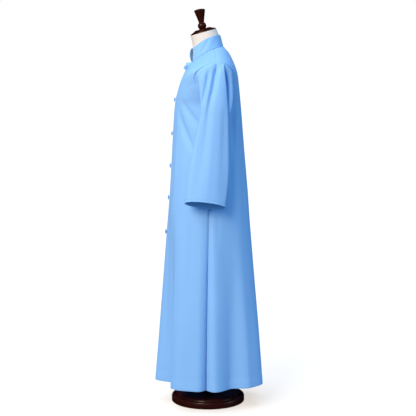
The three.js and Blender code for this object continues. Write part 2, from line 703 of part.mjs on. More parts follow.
const dressForm = new THREE.Group();
dressForm.add(
  turnedPiece("stand_base", STAND, MATERIALS.wood, 36),
  pole(),
  footPlate(),
  piece("form_torso", formTorso(), MATERIALS.linen),
  turnedPiece("neck_cap", NECK_CAP, MATERIALS.wood, 24),
  turnedPiece("finial", FINIAL, MATERIALS.wood, 16),
);

const sleeve = leftSleeve();
const cassock = new THREE.Group();
cassock.add(
  piece("front_left", frontPanel(1), MATERIALS.cassock),
  piece("front_right", frontPanel(-1), MATERIALS.cassock),
  piece("back", backPanel(), MATERIALS.cassock),
  piece("sleeve_left", sleeve, MATERIALS.cassock),
  piece("sleeve_right", mirrored(sleeve), MATERIALS.cassock),
  piece("collar", collar(), MATERIALS.cassock),
  ...BUTTONS.map(button),
);

const cassockOnForm = new THREE.Group();
cassockOnForm.add(dressForm, cassock);

export default cassockOnForm;
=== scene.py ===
"""A choir cassock on a limbless dress form, finished for rendering.

Sizes are millimetres in the part's own frame (+Z up, -Y the front of the garment, +X the
wearer's left) and become metres when a mesh is made. A place on the cloth is an angle round
the body, 0 at centre front through 90 at the left side seam to 180 at centre back, and a
station, which is the height up to the armpit and runs on over the shoulder to the neck.
"""

from __future__ import annotations

import logging
import math
from dataclasses import dataclass, field
from enum import Enum
from typing import Sequence

import bpy
import numpy as np
from mathutils import Matrix, Vector

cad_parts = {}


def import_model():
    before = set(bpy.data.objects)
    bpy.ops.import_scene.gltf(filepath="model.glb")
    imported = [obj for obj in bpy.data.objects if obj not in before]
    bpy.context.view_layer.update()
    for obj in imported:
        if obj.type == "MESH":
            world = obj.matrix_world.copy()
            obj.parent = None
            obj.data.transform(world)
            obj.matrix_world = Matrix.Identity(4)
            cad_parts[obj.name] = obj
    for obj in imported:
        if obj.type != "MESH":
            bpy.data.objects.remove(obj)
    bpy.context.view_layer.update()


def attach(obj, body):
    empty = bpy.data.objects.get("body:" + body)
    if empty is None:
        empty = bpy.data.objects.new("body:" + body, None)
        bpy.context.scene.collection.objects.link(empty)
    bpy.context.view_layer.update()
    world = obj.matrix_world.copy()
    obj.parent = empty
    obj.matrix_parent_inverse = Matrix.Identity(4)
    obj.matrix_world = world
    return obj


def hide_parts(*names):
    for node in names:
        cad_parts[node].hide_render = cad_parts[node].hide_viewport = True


log = logging.getLogger("cassock")

Array = np.ndarray
Ring = dict[str, Array]
Triple = tuple[float, float, float]
Colour = tuple[float, float, float, float]

MM = 0.001

CLOTH = 2.0  # wall of the cloth
SEAM_GAP = 0.3  # between pieces that meet
SEAM_LINING = 0.8  # at a dip in the outer face, the inner face dips by this share
ARMHOLE_DIP = 4.4  # the cloth turns in at the armhole's front and back by this much
ARMHOLE_DIP_LEAST = 0.12  # and at its top and bottom by this share of that
LAP_HALF = 22.0  # the left front passes centre front by this much
HEM_Z = 89.0
NECK_STATION = 1550.0
SIDE_ANGLE = 90.0
WHITE = (1.0, 1.0, 1.0)

BODY_COLUMNS = (
    "station", "zFront", "zSide", "zBack", "halfWidth", "front", "back", "centre", "square", "seam",
)
BODY_RINGS = (
    (89, 89, 89, 89, 205, -205, 211.5, -8, 2.1, 90),
    (297, 297, 297, 297, 202, -192, 202.5, -6, 2.1, 90),
    (499, 499, 499, 499, 198, -180, 190, -3, 2.1, 90),
    (700, 700, 700, 700, 194, -167, 176, 1, 2.15, 90),
    (882, 882, 882, 882, 188, -156, 162, 5, 2.2, 90),
    (1078, 1078, 1078, 1078, 181, -144, 145.5, 12, 2.3, 90),
    (1232, 1232, 1232, 1232, 175, -134, 133, 20, 2.5, 90),
    (1270, 1263, 1274, 1268, 185, -128.5, 129.5, 23, 2.6, 90),
    (1310, 1290, 1318, 1300, 196, -121, 126, 27, 2.7, 90),
    (1370, 1327, 1386, 1350, 213, -109, 119.5, 33, 2.7, 90),
    (1475, 1380, 1431, 1432, 132, -84, 88.5, 20, 2.15, 98),
    (1550, 1400, 1444, 1465, 63, -68, 62, -1, 2, 114),
)


@dataclass(frozen=True)
class HangingFold:
    """A ridge (+) or valley (-) that hangs from the body and dies out at a station.

    angle and depth hold at the hem, and the fold drifts to top_angle at its top.
    """

    angle: float
    top_angle: float
    depth: float
    top: float
    crease: float = 0.0


BODY_FOLDS = (
    HangingFold(0, 0, 15, 900),
    HangingFold(30, 28, -60, 800),
    HangingFold(44.5, 42, 2, 820, 0.5),
    HangingFold(55, 55, 9, 900),
    HangingFold(70, 70, 2, 900),
    HangingFold(80, 78, 2, 1100),
    HangingFold(90, 90, -22, 1180, 1.4),
    HangingFold(99, 98, 10, 1000),
    HangingFold(119, 112, -23, 900),
    HangingFold(140, 138, 15, 900),
    HangingFold(159, 157, 26, 900),
    HangingFold(180, 180, -18, 860, 0.8),
    HangingFold(203, 204, 21, 870),
    HangingFold(221, 223, 9, 900),
    HangingFold(243, 249, -21, 860),
    HangingFold(260, 261, 11, 1000),
    HangingFold(270, 270, -20, 1180, 1.4),
    HangingFold(281, 282, 3, 1100),
    HangingFold(292, 292, 1, 900),
    HangingFold(306, 306, 10, 880),
    HangingFold(317, 319, 3, 800, 0.5),
    HangingFold(331, 333, -52, 770),
)


@dataclass(frozen=True)
class ChestDrape:
    """A trough that drapes slantwise over the chest, the same on both sides."""

    from_angle: float
    from_station: float
    to_angle: float
    to_station: float
    depth: float
    width: float


CHEST_DRAPES = (
    ChestDrape(40, 1258, 72, 1150, 8, 5),
    ChestDrape(32, 1225, 62, 1065, 9, 5.5),
)


@dataclass(frozen=True)
class Crease:
    """A small soft crease in the cloth between two places, a trough if depth is negative.

    width is its half width across in mm, and bow bends it sideways by so many mm.
    """

    angle: float
    station: float
    to_angle: float
    to_station: float
    depth: float
    width: float
    bow: float = 0.0


MM_PER_DEGREE = 3.2  # round the body, near enough to lay creases out
FULL_TURN = 360

BODY_CREASES = (
    # the wearer's left
    Crease(34, 1225, 33, 800, 2.2, 8, 3),
    Crease(84.5, 150, 87, 92, 2.2, 5, 2),
    Crease(87.5, 170, 86.5, 100, -1.6, 4),
    Crease(93, 860, 96, 560, 1.6, 9),
    Crease(106, 1040, 103, 640, -3.0, 14, 4),
    Crease(63, 820, 66, 480, -2.2, 16, -4),
    Crease(128, 1180, 124, 760, -2.6, 14, 6),
    Crease(150, 1150, 146, 700, -2.4, 15, -5),
    Crease(77, 1140, 84, 980, -2.2, 9, 4),
    Crease(56, 1330, 44, 1290, -1.2, 8),
    Crease(13, 1000, 12, -300, -6.0, 20),
    Crease(125, 760, 129, -200, -6.0, 24),
    Crease(112, 760, 114, -200, 4.0, 20),
    Crease(131, 1275, 131, 1010, -9.0, 13),
    Crease(141, 1250, 141, 1040, 4.0, 9),
    # the wearer's right
    Crease(325, 1190, 327, 830, 1.4, 11, -3),
    Crease(275, 150, 273, 95, 2.0, 5, -2),
    Crease(266, 880, 264, 590, 1.5, 9),
    Crease(253, 1020, 256, 660, -2.8, 13, -4),
    Crease(296, 800, 293, 500, -2.0, 15, 4),
    Crease(231, 1160, 236, 780, -2.5, 14, -5),
    Crease(209, 1140, 214, 720, -2.2, 15, 4),
    Crease(283, 1130, 276, 990, -2.0, 9, -4),
    Crease(303, 1325, 315, 1288, -1.2, 8),
)

SLEEVE_COLUMNS = ("row", "z", "x", "y", "halfX", "halfY", "lift", "fall")
SLEEVE_RINGS = (
    (1.0, 1200, 219, 24, 31, 60, 0.25, 0),
    (1.25, 1079, 224, 14, 32, 70.5, 0.3, 0.03),
    (1.5, 974, 229, 4, 33, 78.5, 0.37, 0.06),
    (1.75, 890, 233, -6, 33.5, 80.5, 0.44, 0.1),
    (2.0, 846, 235, -11.5, 34, 80, 0.48, 0.11),
)


@dataclass(frozen=True)
class SleeveFold:
    """A pleat or trough of the sleeve, by its turn at the armhole, crown, bicep and cuff.

    to_front and to_back are its half widths in degrees, and it runs between the rows start
    and end (0 armhole, 0.5 crown, 1 bicep, 2 cuff), deepest at peak.
    """

    head: float
    crown: float
    bicep: float
    cuff: float
    depth: float
    to_front: float
    to_back: float
    start: float
    peak: float
    end: float


SLEEVE_FOLDS = (
    SleeveFold(75, 80, 85, 90, -18.5, 42, 22, 0, 0.45, 1.35),
    SleeveFold(13, 30, 60, 68, -13, 7, 8, 0.12, 0.42, 0.96),
    SleeveFold(-4, 5.5, 24, 28, -15, 8, 10, 0, 0.32, 1.2),
    SleeveFold(10, 16, 25, 29, -2.2, 13, 13, 0.6, 1.15, 2.3),
    SleeveFold(-14, -14, -15, -16, -4, 4, 3.5, 0, 0.12, 0.36),
    SleeveFold(-22, -24, -26, -28, -4, 4, 3.5, 0, 0.1, 0.3),
    SleeveFold(-34, -60, -82, -96, -46, 8, 12, 0.01, 0.46, 1.5),
    SleeveFold(-94, -98, -106, -95, 10, 14, 30, 0.15, 0.7, 1.12),
    SleeveFold(-36, -38, -42, -44, -4, 14, 16, 0.6, 1.3, 2.2),
)
SLEEVE_CREASES = (
    SleeveFold(-4, 6, 24, 28, -4.0, 3.5, 3, 0, 0.1, 0.5),
    SleeveFold(-33, -58, -82, -96, -3.0, 3, 4, 0, 0.1, 0.4),
    SleeveFold(8, 18, 40, 48, 1.5, 5, 5, 0.1, 0.45, 0.9),
    SleeveFold(10, 13, 21, 27, -4.0, 13, 13, 0.6, 1.1, 2.2),
    SleeveFold(-25, -44, -60, -66, 1.0, 6, 6, 0.05, 0.35, 0.9),
    SleeveFold(60, 50, 42, 40, -1.8, 9, 9, 0.8, 1.35, 2.1),
    SleeveFold(0, 1, 2, -4, 1.5, 9, 9, 0.7, 1.5, 2.2),
    SleeveFold(-60, -60, -60, -58, -2.0, 12, 12, 1.0, 1.6, 2.3),
    SleeveFold(150, 150, 150, 155, -2.5, 14, 14, 0.6, 1.2, 2.2),
    SleeveFold(200, 203, 205, 200, -2.2, 12, 12, 0.5, 1.1, 2.0),
    SleeveFold(235, 237, 238, 240, 2.0, 12, 12, 0.8, 1.5, 2.2),
)


class Side(Enum):
    """The wearer's left or right, as the sign of X."""

    LEFT = 1
    RIGHT = -1

    @property
    def mirror(self) -> Array:
        """What takes a point of the wearer's left to this side."""
        return np.array([self.value, 1, 1])


# ------------------------------------------------------------------ curves and rings


def hermite(a: Array, b: Array, slope_a: Array, slope_b: Array, t: Array) -> Array:
    """Values of a cubic between two ends.

    Args:
        a: Its value at t = 0.
        b: Its value at t = 1.
        slope_a: Its slope at t = 0.
        slope_b: Its slope at t = 1.
        t: Places along it, from 0 to 1.

    Returns:
        The cubic's value at each place.
    """
    t2 = t * t
    t3 = t2 * t
    ends = a * (2 * t3 - 3 * t2 + 1) + b * (3 * t2 - 2 * t3)
    return ends + slope_a * (t3 - 2 * t2 + t) + slope_b * (t3 - t2)


def lerp(a: Array, b: Array, t: Array) -> Array:
    """The value a share t of the way from a to b."""
    return a + (b - a) * t


def smooth_step(x: Array) -> Array:
    """0 up to 0 and 1 from 1 on, smooth between."""
    t = np.clip(x, 0, 1)
    return t * t * (3 - 2 * t)


def hump(x: Array, start: float, peak: float, end: float) -> Array:
    """0 outside the range and 1 at its peak, smooth between."""
    return smooth_step(np.where(x < peak, (x - start) / (peak - start), (end - x) / (end - peak)))


def bell(x: Array, width: Array | float = 1.0) -> Array:
    """1 at x = 0, falling off on both sides within about the width."""
    return np.exp(-((x / width) ** 2))


def angle_between(a: Array, b: Array) -> Array:
    """a less b in degrees, from -180 to 180."""
    return (a - b + 1.5 * FULL_TURN) % FULL_TURN - FULL_TURN / 2


def unit(vectors: Array) -> Array:
    """Each vector at length 1."""
    return vectors / np.maximum(np.linalg.norm(vectors, axis=-1, keepdims=True), 1e-9)


class SmoothCurve:
    """A smooth curve through points, with no overshoot between them."""

    def __init__(self, xs: Sequence[float], ys: Sequence[float]) -> None:
        """Sets the slope at each point from its neighbours.

        Args:
            xs: Rising places of the points.
            ys: Their values, or rows of values.
        """
        self.xs = np.asarray(xs, float)
        self.ys = np.asarray(ys, float)
        gaps = np.diff(self.xs).reshape(-1, *[1] * (self.ys.ndim - 1))
        steps = np.diff(self.ys, axis=0) / gaps
        a, b = steps[:-1], steps[1:]
        total = np.where(a * b > 0, a + b, 1)
        inner = np.where(a * b > 0, 2 * a * b / total, 0)
        self.slopes = np.concatenate([steps[:1], inner, steps[-1:]])

    def __call__(self, x: Array) -> Array:
        """The curve's values.

        Args:
            x: Places along the curve.

        Returns:
            One value, or one row of values, for each place.
        """
        t = np.clip(x, self.xs[0], self.xs[-1])
        i = np.clip(np.searchsorted(self.xs, t, side="right") - 1, 0, len(self.xs) - 2)
        h = self.xs[i + 1] - self.xs[i]
        extra = (...,) + (None,) * (self.ys.ndim - 1)
        h, share = h[extra], ((t - self.xs[i]) / h)[extra]
        return hermite(self.ys[i], self.ys[i + 1], self.slopes[i] * h, self.slopes[i + 1] * h, share)


class RingTable:
    """Rows of named columns as one smooth curve for each column."""

    def __init__(self, columns: Sequence[str], rows: Sequence[Sequence[float]]) -> None:
        """Makes the curves.

        Args:
            columns: The columns' names; the first is the one that the others run along.
            rows: The rows of values.
        """
        values = np.asarray(rows, float)
        self.curves = {name: SmoothCurve(values[:, 0], values[:, i]) for i, name in enumerate(columns)}

    def at(self, place: Array) -> Ring:
        """The columns' values at places along the first column."""
        return {name: curve(place) for name, curve in self.curves.items()}


def ring_point(ring: Ring, angle: Array, offset: Array | float = 0.0) -> Array:
    """Points of rounded rings.

    Args:
        ring: The rings' columns.
        angle: The angle round each ring, in degrees.
        offset: How far each point is pushed out from its ring's middle.

    Returns:
        The points, with their coordinates on the last axis.
    """
    c, s = np.cos(np.radians(angle)), np.sin(np.radians(angle))
    n = ring["square"]
    rounded = (np.abs(c) ** n + np.abs(s) ** n) ** (-1 / n)
    depth = np.where(c > 0, ring["centre"] - ring["front"], ring["back"] - ring["centre"])
    x, y = ring["halfWidth"] * s * rounded, -depth * c * rounded
    grow = 1 + offset / np.hypot(x, y)
    middle = (ring["zFront"] + ring["zBack"]) / 2
    z = middle + (ring["zFront"] - ring["zBack"]) / 2 * c + (ring["zSide"] - middle) * s * s
    return np.stack([x * grow, ring["centre"] + y * grow, z + 0 * x], axis=-1)


def turns_round(steps: int) -> Array:
    """Evenly spaced degrees round a ring, from 0."""
    return np.arange(steps) * FULL_TURN / steps


def grid_normals(grid: Array, closed: bool) -> Array:
    """Outward normals of a grid of points whose rows run up and whose columns run round.

    Args:
        grid: Points by row and column.
        closed: Whether the last column meets the first.

    Returns:
        A unit vector for each point.
    """
    if closed:
        across = np.roll(grid, -1, axis=1) - np.roll(grid, 1, axis=1)
    else:
        across = np.gradient(grid, axis=1)
    return unit(np.cross(across, np.gradient(grid, axis=0)))


# ------------------------------------------------------------------ the cassock's surface


@dataclass
class CassockSurface:
    """The outer surface of the body of the cassock, with its folds and creases."""

    neck_reach: float = 20.0  # the unfastened neck edge pokes forward
    neck_depth: float = 20.0
    neck_fade: float = 110.0
    fold_fade: float = 1.15  # the power by which the hanging folds lose their depth
    drape_run: Triple = (-0.15, 0.75, 1.3)  # shares of its length: start, deepest, end
    crease_run: Triple = (-0.1, 0.5, 1.1)
    wander: float = 0.3  # the cloth's slight unevenness, gone at the neck
    wander_fade: float = 400.0
    wander_waves: tuple[Colour, ...] = (
        # share, waves round the body, mm up for a radian, shift
        (1.0, 7, 83, 0.0),
        (0.7, 11, -57, 1.3),
    )
    hole_station: float = 1350.0  # the armhole is an egg round this station
    hole_up: float = 53.0
    hole_down: float = 100.0
    hole_front: float = 32.5
    hole_back: float = 44.0
    hole_scoop: float = 2.2
    step: float = 1.0  # degrees and mm between the places that give a slope
    rings: RingTable = field(default_factory=lambda: RingTable(BODY_COLUMNS, BODY_RINGS))

    def folds(self, angle: Array, station: Array) -> Array:
        """The hanging folds' push at places on the cloth.

        Args:
            angle: Angles of the places.
            station: Their stations.

        Returns:
            How far each place is pushed out.
        """
        knots, depths, creases = [], [], []
        for fold in BODY_FOLDS:
            t = np.clip((station - HEM_Z) / (fold.top - HEM_Z), 0, 1)
            knots.append(lerp(fold.angle, fold.top_angle, t))
            depths.append(fold.depth * (1 - t) ** self.fold_fade)
            creases.append(fold.crease + 0 * t)
        turns, depth, crease = np.array(knots), np.array(depths), np.array(creases)
        turn = angle % FULL_TURN
        a = np.clip((turns <= turn).sum(axis=0) - 1, 0, len(BODY_FOLDS) - 1)
        b = (a + 1) % len(BODY_FOLDS)

        def pick(values: Array, which: Array) -> Array:
            """The values of the folds with these numbers."""
            return np.take_along_axis(values, which[None], axis=0)[0]

        span = (pick(turns, b) - pick(turns, a)) % FULL_TURN
        low, high = pick(depth, a), pick(depth, b)
        share = (turn - pick(turns, a)) / span
        rise = high - low
        return hermite(low, high, rise * pick(crease, a), rise * pick(crease, b), share)

    def drapes(self, angle: Array, station: Array) -> Array:
        """The push of the slanting troughs over the chest.

        Args:
            angle: Angles of the places.
            station: Their stations.

        Returns:
            How far each place is pushed out.
        """
        side = np.abs(angle_between(angle, 0))
        total = np.zeros_like(side)
        for d in CHEST_DRAPES:
            along = (d.from_station - station) / (d.from_station - d.to_station)
            across = side - lerp(d.from_angle, d.to_angle, along)
            total -= d.depth * hump(along, *self.drape_run) * bell(across, d.width)
        return total

    def neck_pull(self, angle: Array, station: Array) -> Array:
        """How far the open neck edge pokes forward.

        Args:
            angle: Angles of places on the cloth.
            station: Their stations.

        Returns:
            How far each place is pushed out.
        """
        rise = np.clip((station - NECK_STATION + self.neck_fade) / self.neck_fade, 0, 1)
        near = 1 - np.abs(angle_between(angle, 0)) / self.neck_reach
        return self.neck_depth * rise * smooth_step(near)

    def creases(self, angle: Array, station: Array) -> Array:
        """The push of the small creases and of the cloth's slight unevenness.

        Args:
            angle: Angles of the places.
            station: Their stations.

        Returns:
            How far each place is pushed out.
        """
        total = np.zeros_like(np.asarray(angle, float) + station)
        for crease in BODY_CREASES:
            run = np.array([angle_between(crease.to_angle, crease.angle) * MM_PER_DEGREE,
                            crease.to_station - crease.station])
            length = float(np.hypot(*run))
            dx = angle_between(angle, crease.angle) * MM_PER_DEGREE
            dy = station - crease.station
            along = (dx * run[0] + dy * run[1]) / length**2
            across = (dx * run[1] - dy * run[0]) / length - crease.bow * 4 * along * (1 - along)
            total += crease.depth * hump(along, *self.crease_run) * bell(across, crease.width)
        turn = np.radians(angle)
        slack = self.wander * np.clip((NECK_STATION - station) / self.wander_fade, 0, 1)
        for share, waves, rise, shift in self.wander_waves:
            total = total + slack * share * np.sin(waves * turn + station / rise + shift)
        return total

    def point(self, angle: Array, station: Array) -> Array:
        """Points of the cloth's outer face.

        Args:
            angle: Angles of the places.
            station: Their stations.

        Returns:
            The points, with their coordinates on the last axis.
        """
        angle, station = np.broadcast_arrays(np.asarray(angle, float), np.asarray(station, float))
        push = self.folds(angle, station) + self.drapes(angle, station)
        push = push + self.neck_pull(angle, station) + self.creases(angle, station)
        return ring_point(self.rings.at(station), angle, push)

    def normal(self, angle: Array, station: Array) -> Array:
        """Outward normals of the cloth.

        Args:
            angle: Angles of the places.
            station: Their stations.

        Returns:
            A unit vector for each place.
        """
        angle, station = np.broadcast_arrays(np.asarray(angle, float), np.asarray(station, float))
        step = self.step / 2
        around = self.point(angle + step, station) - self.point(angle - step, station)
        up = self.point(angle, station + step) - self.point(angle, station - step)
        return unit(np.cross(around, up))

    def angle_for(self, distance: float, angle: Array, station: Array) -> Array:
        """The ring angle that moves a point this far along its ring."""
        step = self.point(angle + self.step / 2, station) - self.point(angle - self.step / 2, station)
        return distance / np.linalg.norm(step, axis=-1) * self.step

    def armhole(self, turn: Array) -> tuple[Array, Array]:
        """The armhole's edge.

        Args:
            turn: Degrees round it: 0 shoulder, 90 front, 180 underarm, 270 back.

        Returns:
            The angles and the stations of its points.
        """
        c, s = np.cos(np.radians(turn)), np.sin(np.radians(turn))
        forward = np.where(c < 0, np.abs(s) ** self.hole_scoop, s)
        reach = np.where(s > 0, self.hole_front * forward, self.hole_back * s)
        rise = np.where(c > 0, self.hole_up, self.hole_down) * c
        return SIDE_ANGLE - reach, self.hole_station + rise

    def lap_angle(self, station: Array) -> Array:
        """How far round from centre front the lap reaches."""
        return np.degrees(np.arcsin(LAP_HALF / self.rings.at(station)["halfWidth"]))


def armhole_dip(turn: Array) -> Array:
    """How far the cloth turns in at the armhole's seam, deepest at the front and back."""
    return ARMHOLE_DIP * lerp(ARMHOLE_DIP_LEAST, 1.0, np.sin(np.radians(turn)) ** 2)


# ------------------------------------------------------------------ meshes


def make_object(name: str, points: Array, faces: list, uv: Array | None = None,
                sharp: float | None = None) -> bpy.types.Object:
    """Makes a smooth object in the scene.

    Args:
        name: The piece's name.
        points: Its points in mm.
        faces: Point numbers, one row for each face.
        uv: Texture places in mm for each corner of each face, in the faces' order.
        sharp: Edges that turn by more degrees than this are left sharp.

    Returns:
        The new object.
    """
    mesh = bpy.data.meshes.new(name)
    mesh.from_pydata((points * MM).tolist(), [], faces)
    if uv is not None:
        layer = mesh.uv_layers.new(name="Grain")
        layer.data.foreach_set("uv", (uv * MM).astype(np.float32).ravel())
    mesh.validate()
    mesh.shade_smooth()
    if sharp is not None:
        mesh.set_sharp_from_angle(angle=math.radians(sharp))
    piece = bpy.data.objects.new(name, mesh)
    bpy.context.scene.collection.objects.link(piece)
    return piece


def tube_faces(rows: int, columns: int) -> Array:
    """The quads of a grid of points that is closed round its rows.

    Args:
        rows: Rows of points, from the bottom up.
        columns: Points in each row.

    Returns:
        Four point numbers for each quad.
    """
    i, j = (a.ravel() for a in np.meshgrid(np.arange(rows - 1), np.arange(columns), indexing="ij"))
    after = (j + 1) % columns
    low, high = i * columns, (i + 1) * columns
    return np.stack([low + j, low + after, high + after, high + j], axis=-1)


def run_lengths(grid: Array, axis: int) -> Array:
    """Distance along a grid's rows or columns from their first point.

    Args:
        grid: Points by row and column.
        axis: 1 to go along the rows, 0 to go along the columns.

    Returns:
        The distance of each point.
    """
    steps = np.linalg.norm(np.diff(grid, axis=axis), axis=-1)
    zero = np.zeros_like(np.take(steps, [0], axis=axis))
    return np.concatenate([zero, np.cumsum(steps, axis=axis)], axis=axis)


def grain_of(grid: Array, closed: bool) -> Array:
    """How far each point lies along the rows and the columns of a grid.

    Args:
        grid: Points by row and column.
        closed: Whether the first column is repeated after the last one.

    Returns:
        Two distances in mm for each point.
    """
    ring = np.concatenate([grid, grid[:, :1]], axis=1) if closed else grid
    return np.stack([run_lengths(ring, 1), run_lengths(ring, 0)], axis=-1)


def wall_object(name: str, outer: Array, inner: Array, closed: bool) -> bpy.types.Object:
    """A closed wall of cloth between an outer and an inner grid of points.

    Args:
        name: The piece's name.
        outer: Outer points by row and column, rows running up.
        inner: Inner points, one for each outer one.
        closed: Whether the last column meets the first.

    Returns:
        The new object, with its grain laid out in mm.
    """
    rows, cols = outer.shape[:2]
    spans = cols if closed else cols - 1
    i, j = (a.ravel() for a in np.meshgrid(np.arange(rows - 1), np.arange(spans), indexing="ij"))
    corners = [
        [(0, i, j), (0, i, j + 1), (0, i + 1, j + 1), (0, i + 1, j)],
        [(1, i, j), (1, i + 1, j), (1, i + 1, j + 1), (1, i, j + 1)],
    ]
    k, low, top = np.arange(spans), np.zeros(spans, int), np.full(spans, rows - 1)
    corners += [
        [(0, low, k + 1), (0, low, k), (1, low, k), (1, low, k + 1)],
        [(0, top, k), (0, top, k + 1), (1, top, k + 1), (1, top, k)],
    ]
    if not closed:
        k, first, last = np.arange(rows - 1), np.zeros(rows - 1, int), np.full(rows - 1, cols - 1)
        corners += [
            [(0, k, first), (0, k + 1, first), (1, k + 1, first), (1, k, first)],
            [(0, k + 1, last), (0, k, last), (1, k, last), (1, k + 1, last)],
        ]
    grain = grain_of(outer, closed)
    faces, uv = [], []
    for quad in corners:
        faces.append(np.stack([(layer * rows + a) * cols + b % cols for layer, a, b in quad], axis=-1))
        uv.append(np.stack([grain[a, b] for _, a, b in quad], axis=1))
    points = np.concatenate([outer.reshape(-1, 3), inner.reshape(-1, 3)])
    piece = make_object(name, points, np.concatenate(faces).tolist(), np.concatenate(uv).reshape(-1, 2))
    soften_rims(piece)
    return piece


def soften_rims(piece: bpy.types.Object, width: float = 0.5, angle: float = 50.0) -> None:
    """Rounds a piece's sharp edges.

    Args:
        piece: The piece.
        width: The rounding in mm.
        angle: Edges that turn by more degrees than this are rounded.
    """
    bevel = piece.modifiers.new("soft rims", "BEVEL")
    bevel.width = width * MM
    bevel.segments = 2
    bevel.limit_method = "ANGLE"
    bevel.angle_limit = math.radians(angle)
    bevel.use_clamp_overlap = True


def lathe_object(name: str, profile: Array, segments: int, sharp: float = 48.0) -> bpy.types.Object:
    """A turned piece from radius and height pairs that start and end on the axis.

    Args:
        name: The piece's name.
        profile: Radius and height of each point, from the bottom up.
        segments: Steps round the axis.
        sharp: Edges that turn by more degrees than this are left sharp.

    Returns:
        The new object, standing on the origin.
    """
    turn = np.radians(turns_round(segments))
    radius, height = profile[1:-1, :1], profile[1:-1, 1:]
    points = np.stack([radius * np.cos(turn), radius * np.sin(turn), height + 0 * turn], axis=-1)
    points = points.reshape(-1, 3)
    low, high = len(points), len(points) + 1
    last = low - segments
    caps = []
    for ahead in range(segments):
        after = (ahead + 1) % segments
        caps.append((low, after, ahead))
    for ahead in range(segments):
        after = (ahead + 1) % segments
        caps.append((high, last + ahead, last + after))
    ends = np.array([[0, 0, profile[0, 1]], [0, 0, profile[-1, 1]]])
    faces = tube_faces(len(radius), segments).tolist() + caps
    return make_object(name, np.concatenate([points, ends]), faces, sharp=sharp)


def cylinder_profile(radius: float, low: float, high: float, rim: float) -> Array:
    """The section of a cylinder whose rims are cut back a little."""
    return np.array([(0, low), (radius - rim, low), (radius, low + rim),
                     (radius, high - rim), (radius - rim, high), (0, high)])


def rounded_profile(points: Sequence[Sequence[float]], corners: Sequence[int], steps: int = 6) -> Array:
    """A profile that curves smoothly through its points and turns sharply at its corners.

    Args:
        points: Radius and height pairs.
        corners: Numbers of the points where it turns sharply.
        steps: Points in each curved stretch.

    Returns:
        The finer profile.
    """
    given = np.asarray(points, float)
    breaks = sorted({0, len(given) - 1, *corners})
    runs: list[Array] = []
    for a, b in zip(breaks, breaks[1:]):
        run = given[a : b + 1]
        if len(run) > 2:
            along = np.concatenate([[0], np.cumsum(np.linalg.norm(np.diff(run, axis=0), axis=1))])
            places = np.unique(np.concatenate([np.linspace(p, q, steps) for p, q in zip(along, along[1:])]))
            padded = np.concatenate([2 * run[:1] - run[1:2], run, 2 * run[-1:] - run[-2:-1]])
            i = np.clip(np.searchsorted(along, places, side="right") - 1, 0, len(run) - 2)
            h = (along[i + 1] - along[i])[:, None]
            gap = np.concatenate([[along[1]], np.diff(along), [along[-1] - along[-2]]])
            slope = (padded[2:] - padded[:-2]) / (gap[:-1] + gap[1:])[:, None]
            t = (places - along[i])[:, None] / h
            run = hermite(run[i], run[i + 1], slope[i] * h, slope[i + 1] * h, t)
        runs.append(run if not runs else run[1:])
    return np.concatenate(runs)


def place(piece: bpy.types.Object, matrix: Matrix) -> None:
    """Moves a piece's mesh.

    Args:
        piece: The piece.
        matrix: Its move, with a shift in mm.
    """
    shift = matrix.copy()
    shift.translation *= MM
    piece.data.transform(shift)
    piece.data.update()


def dress(piece: bpy.types.Object, material: bpy.types.Material, slot: str, *nodes: str) -> bpy.types.Object:
    """Gives a piece its material and its place in the frame.

    Args:
        piece: The piece.
        material: Its material.
        slot: The record's material slot, which is not used.
        nodes: The nodes of the part that it stands for.

    Returns:
        The same piece.
    """
    piece.data.materials.clear()
    piece.data.materials.append(material)
    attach(piece, "root")
    if nodes:
        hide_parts(*nodes)
    log.info("%s: %d faces", piece.name, len(piece.data.polygons))
    return piece


# ------------------------------------------------------------------ finishes


def srgb(red: int, green: int, blue: int) -> Colour:
    """A screen colour, 0 to 255 a channel, as the linear colour that shaders take."""
    linear = [((c / 255 + 0.055) / 1.055) ** 2.4 if c > 10 else c / 255 / 12.92 for c in (red, green, blue)]
    return (linear[0], linear[1], linear[2], 1.0)


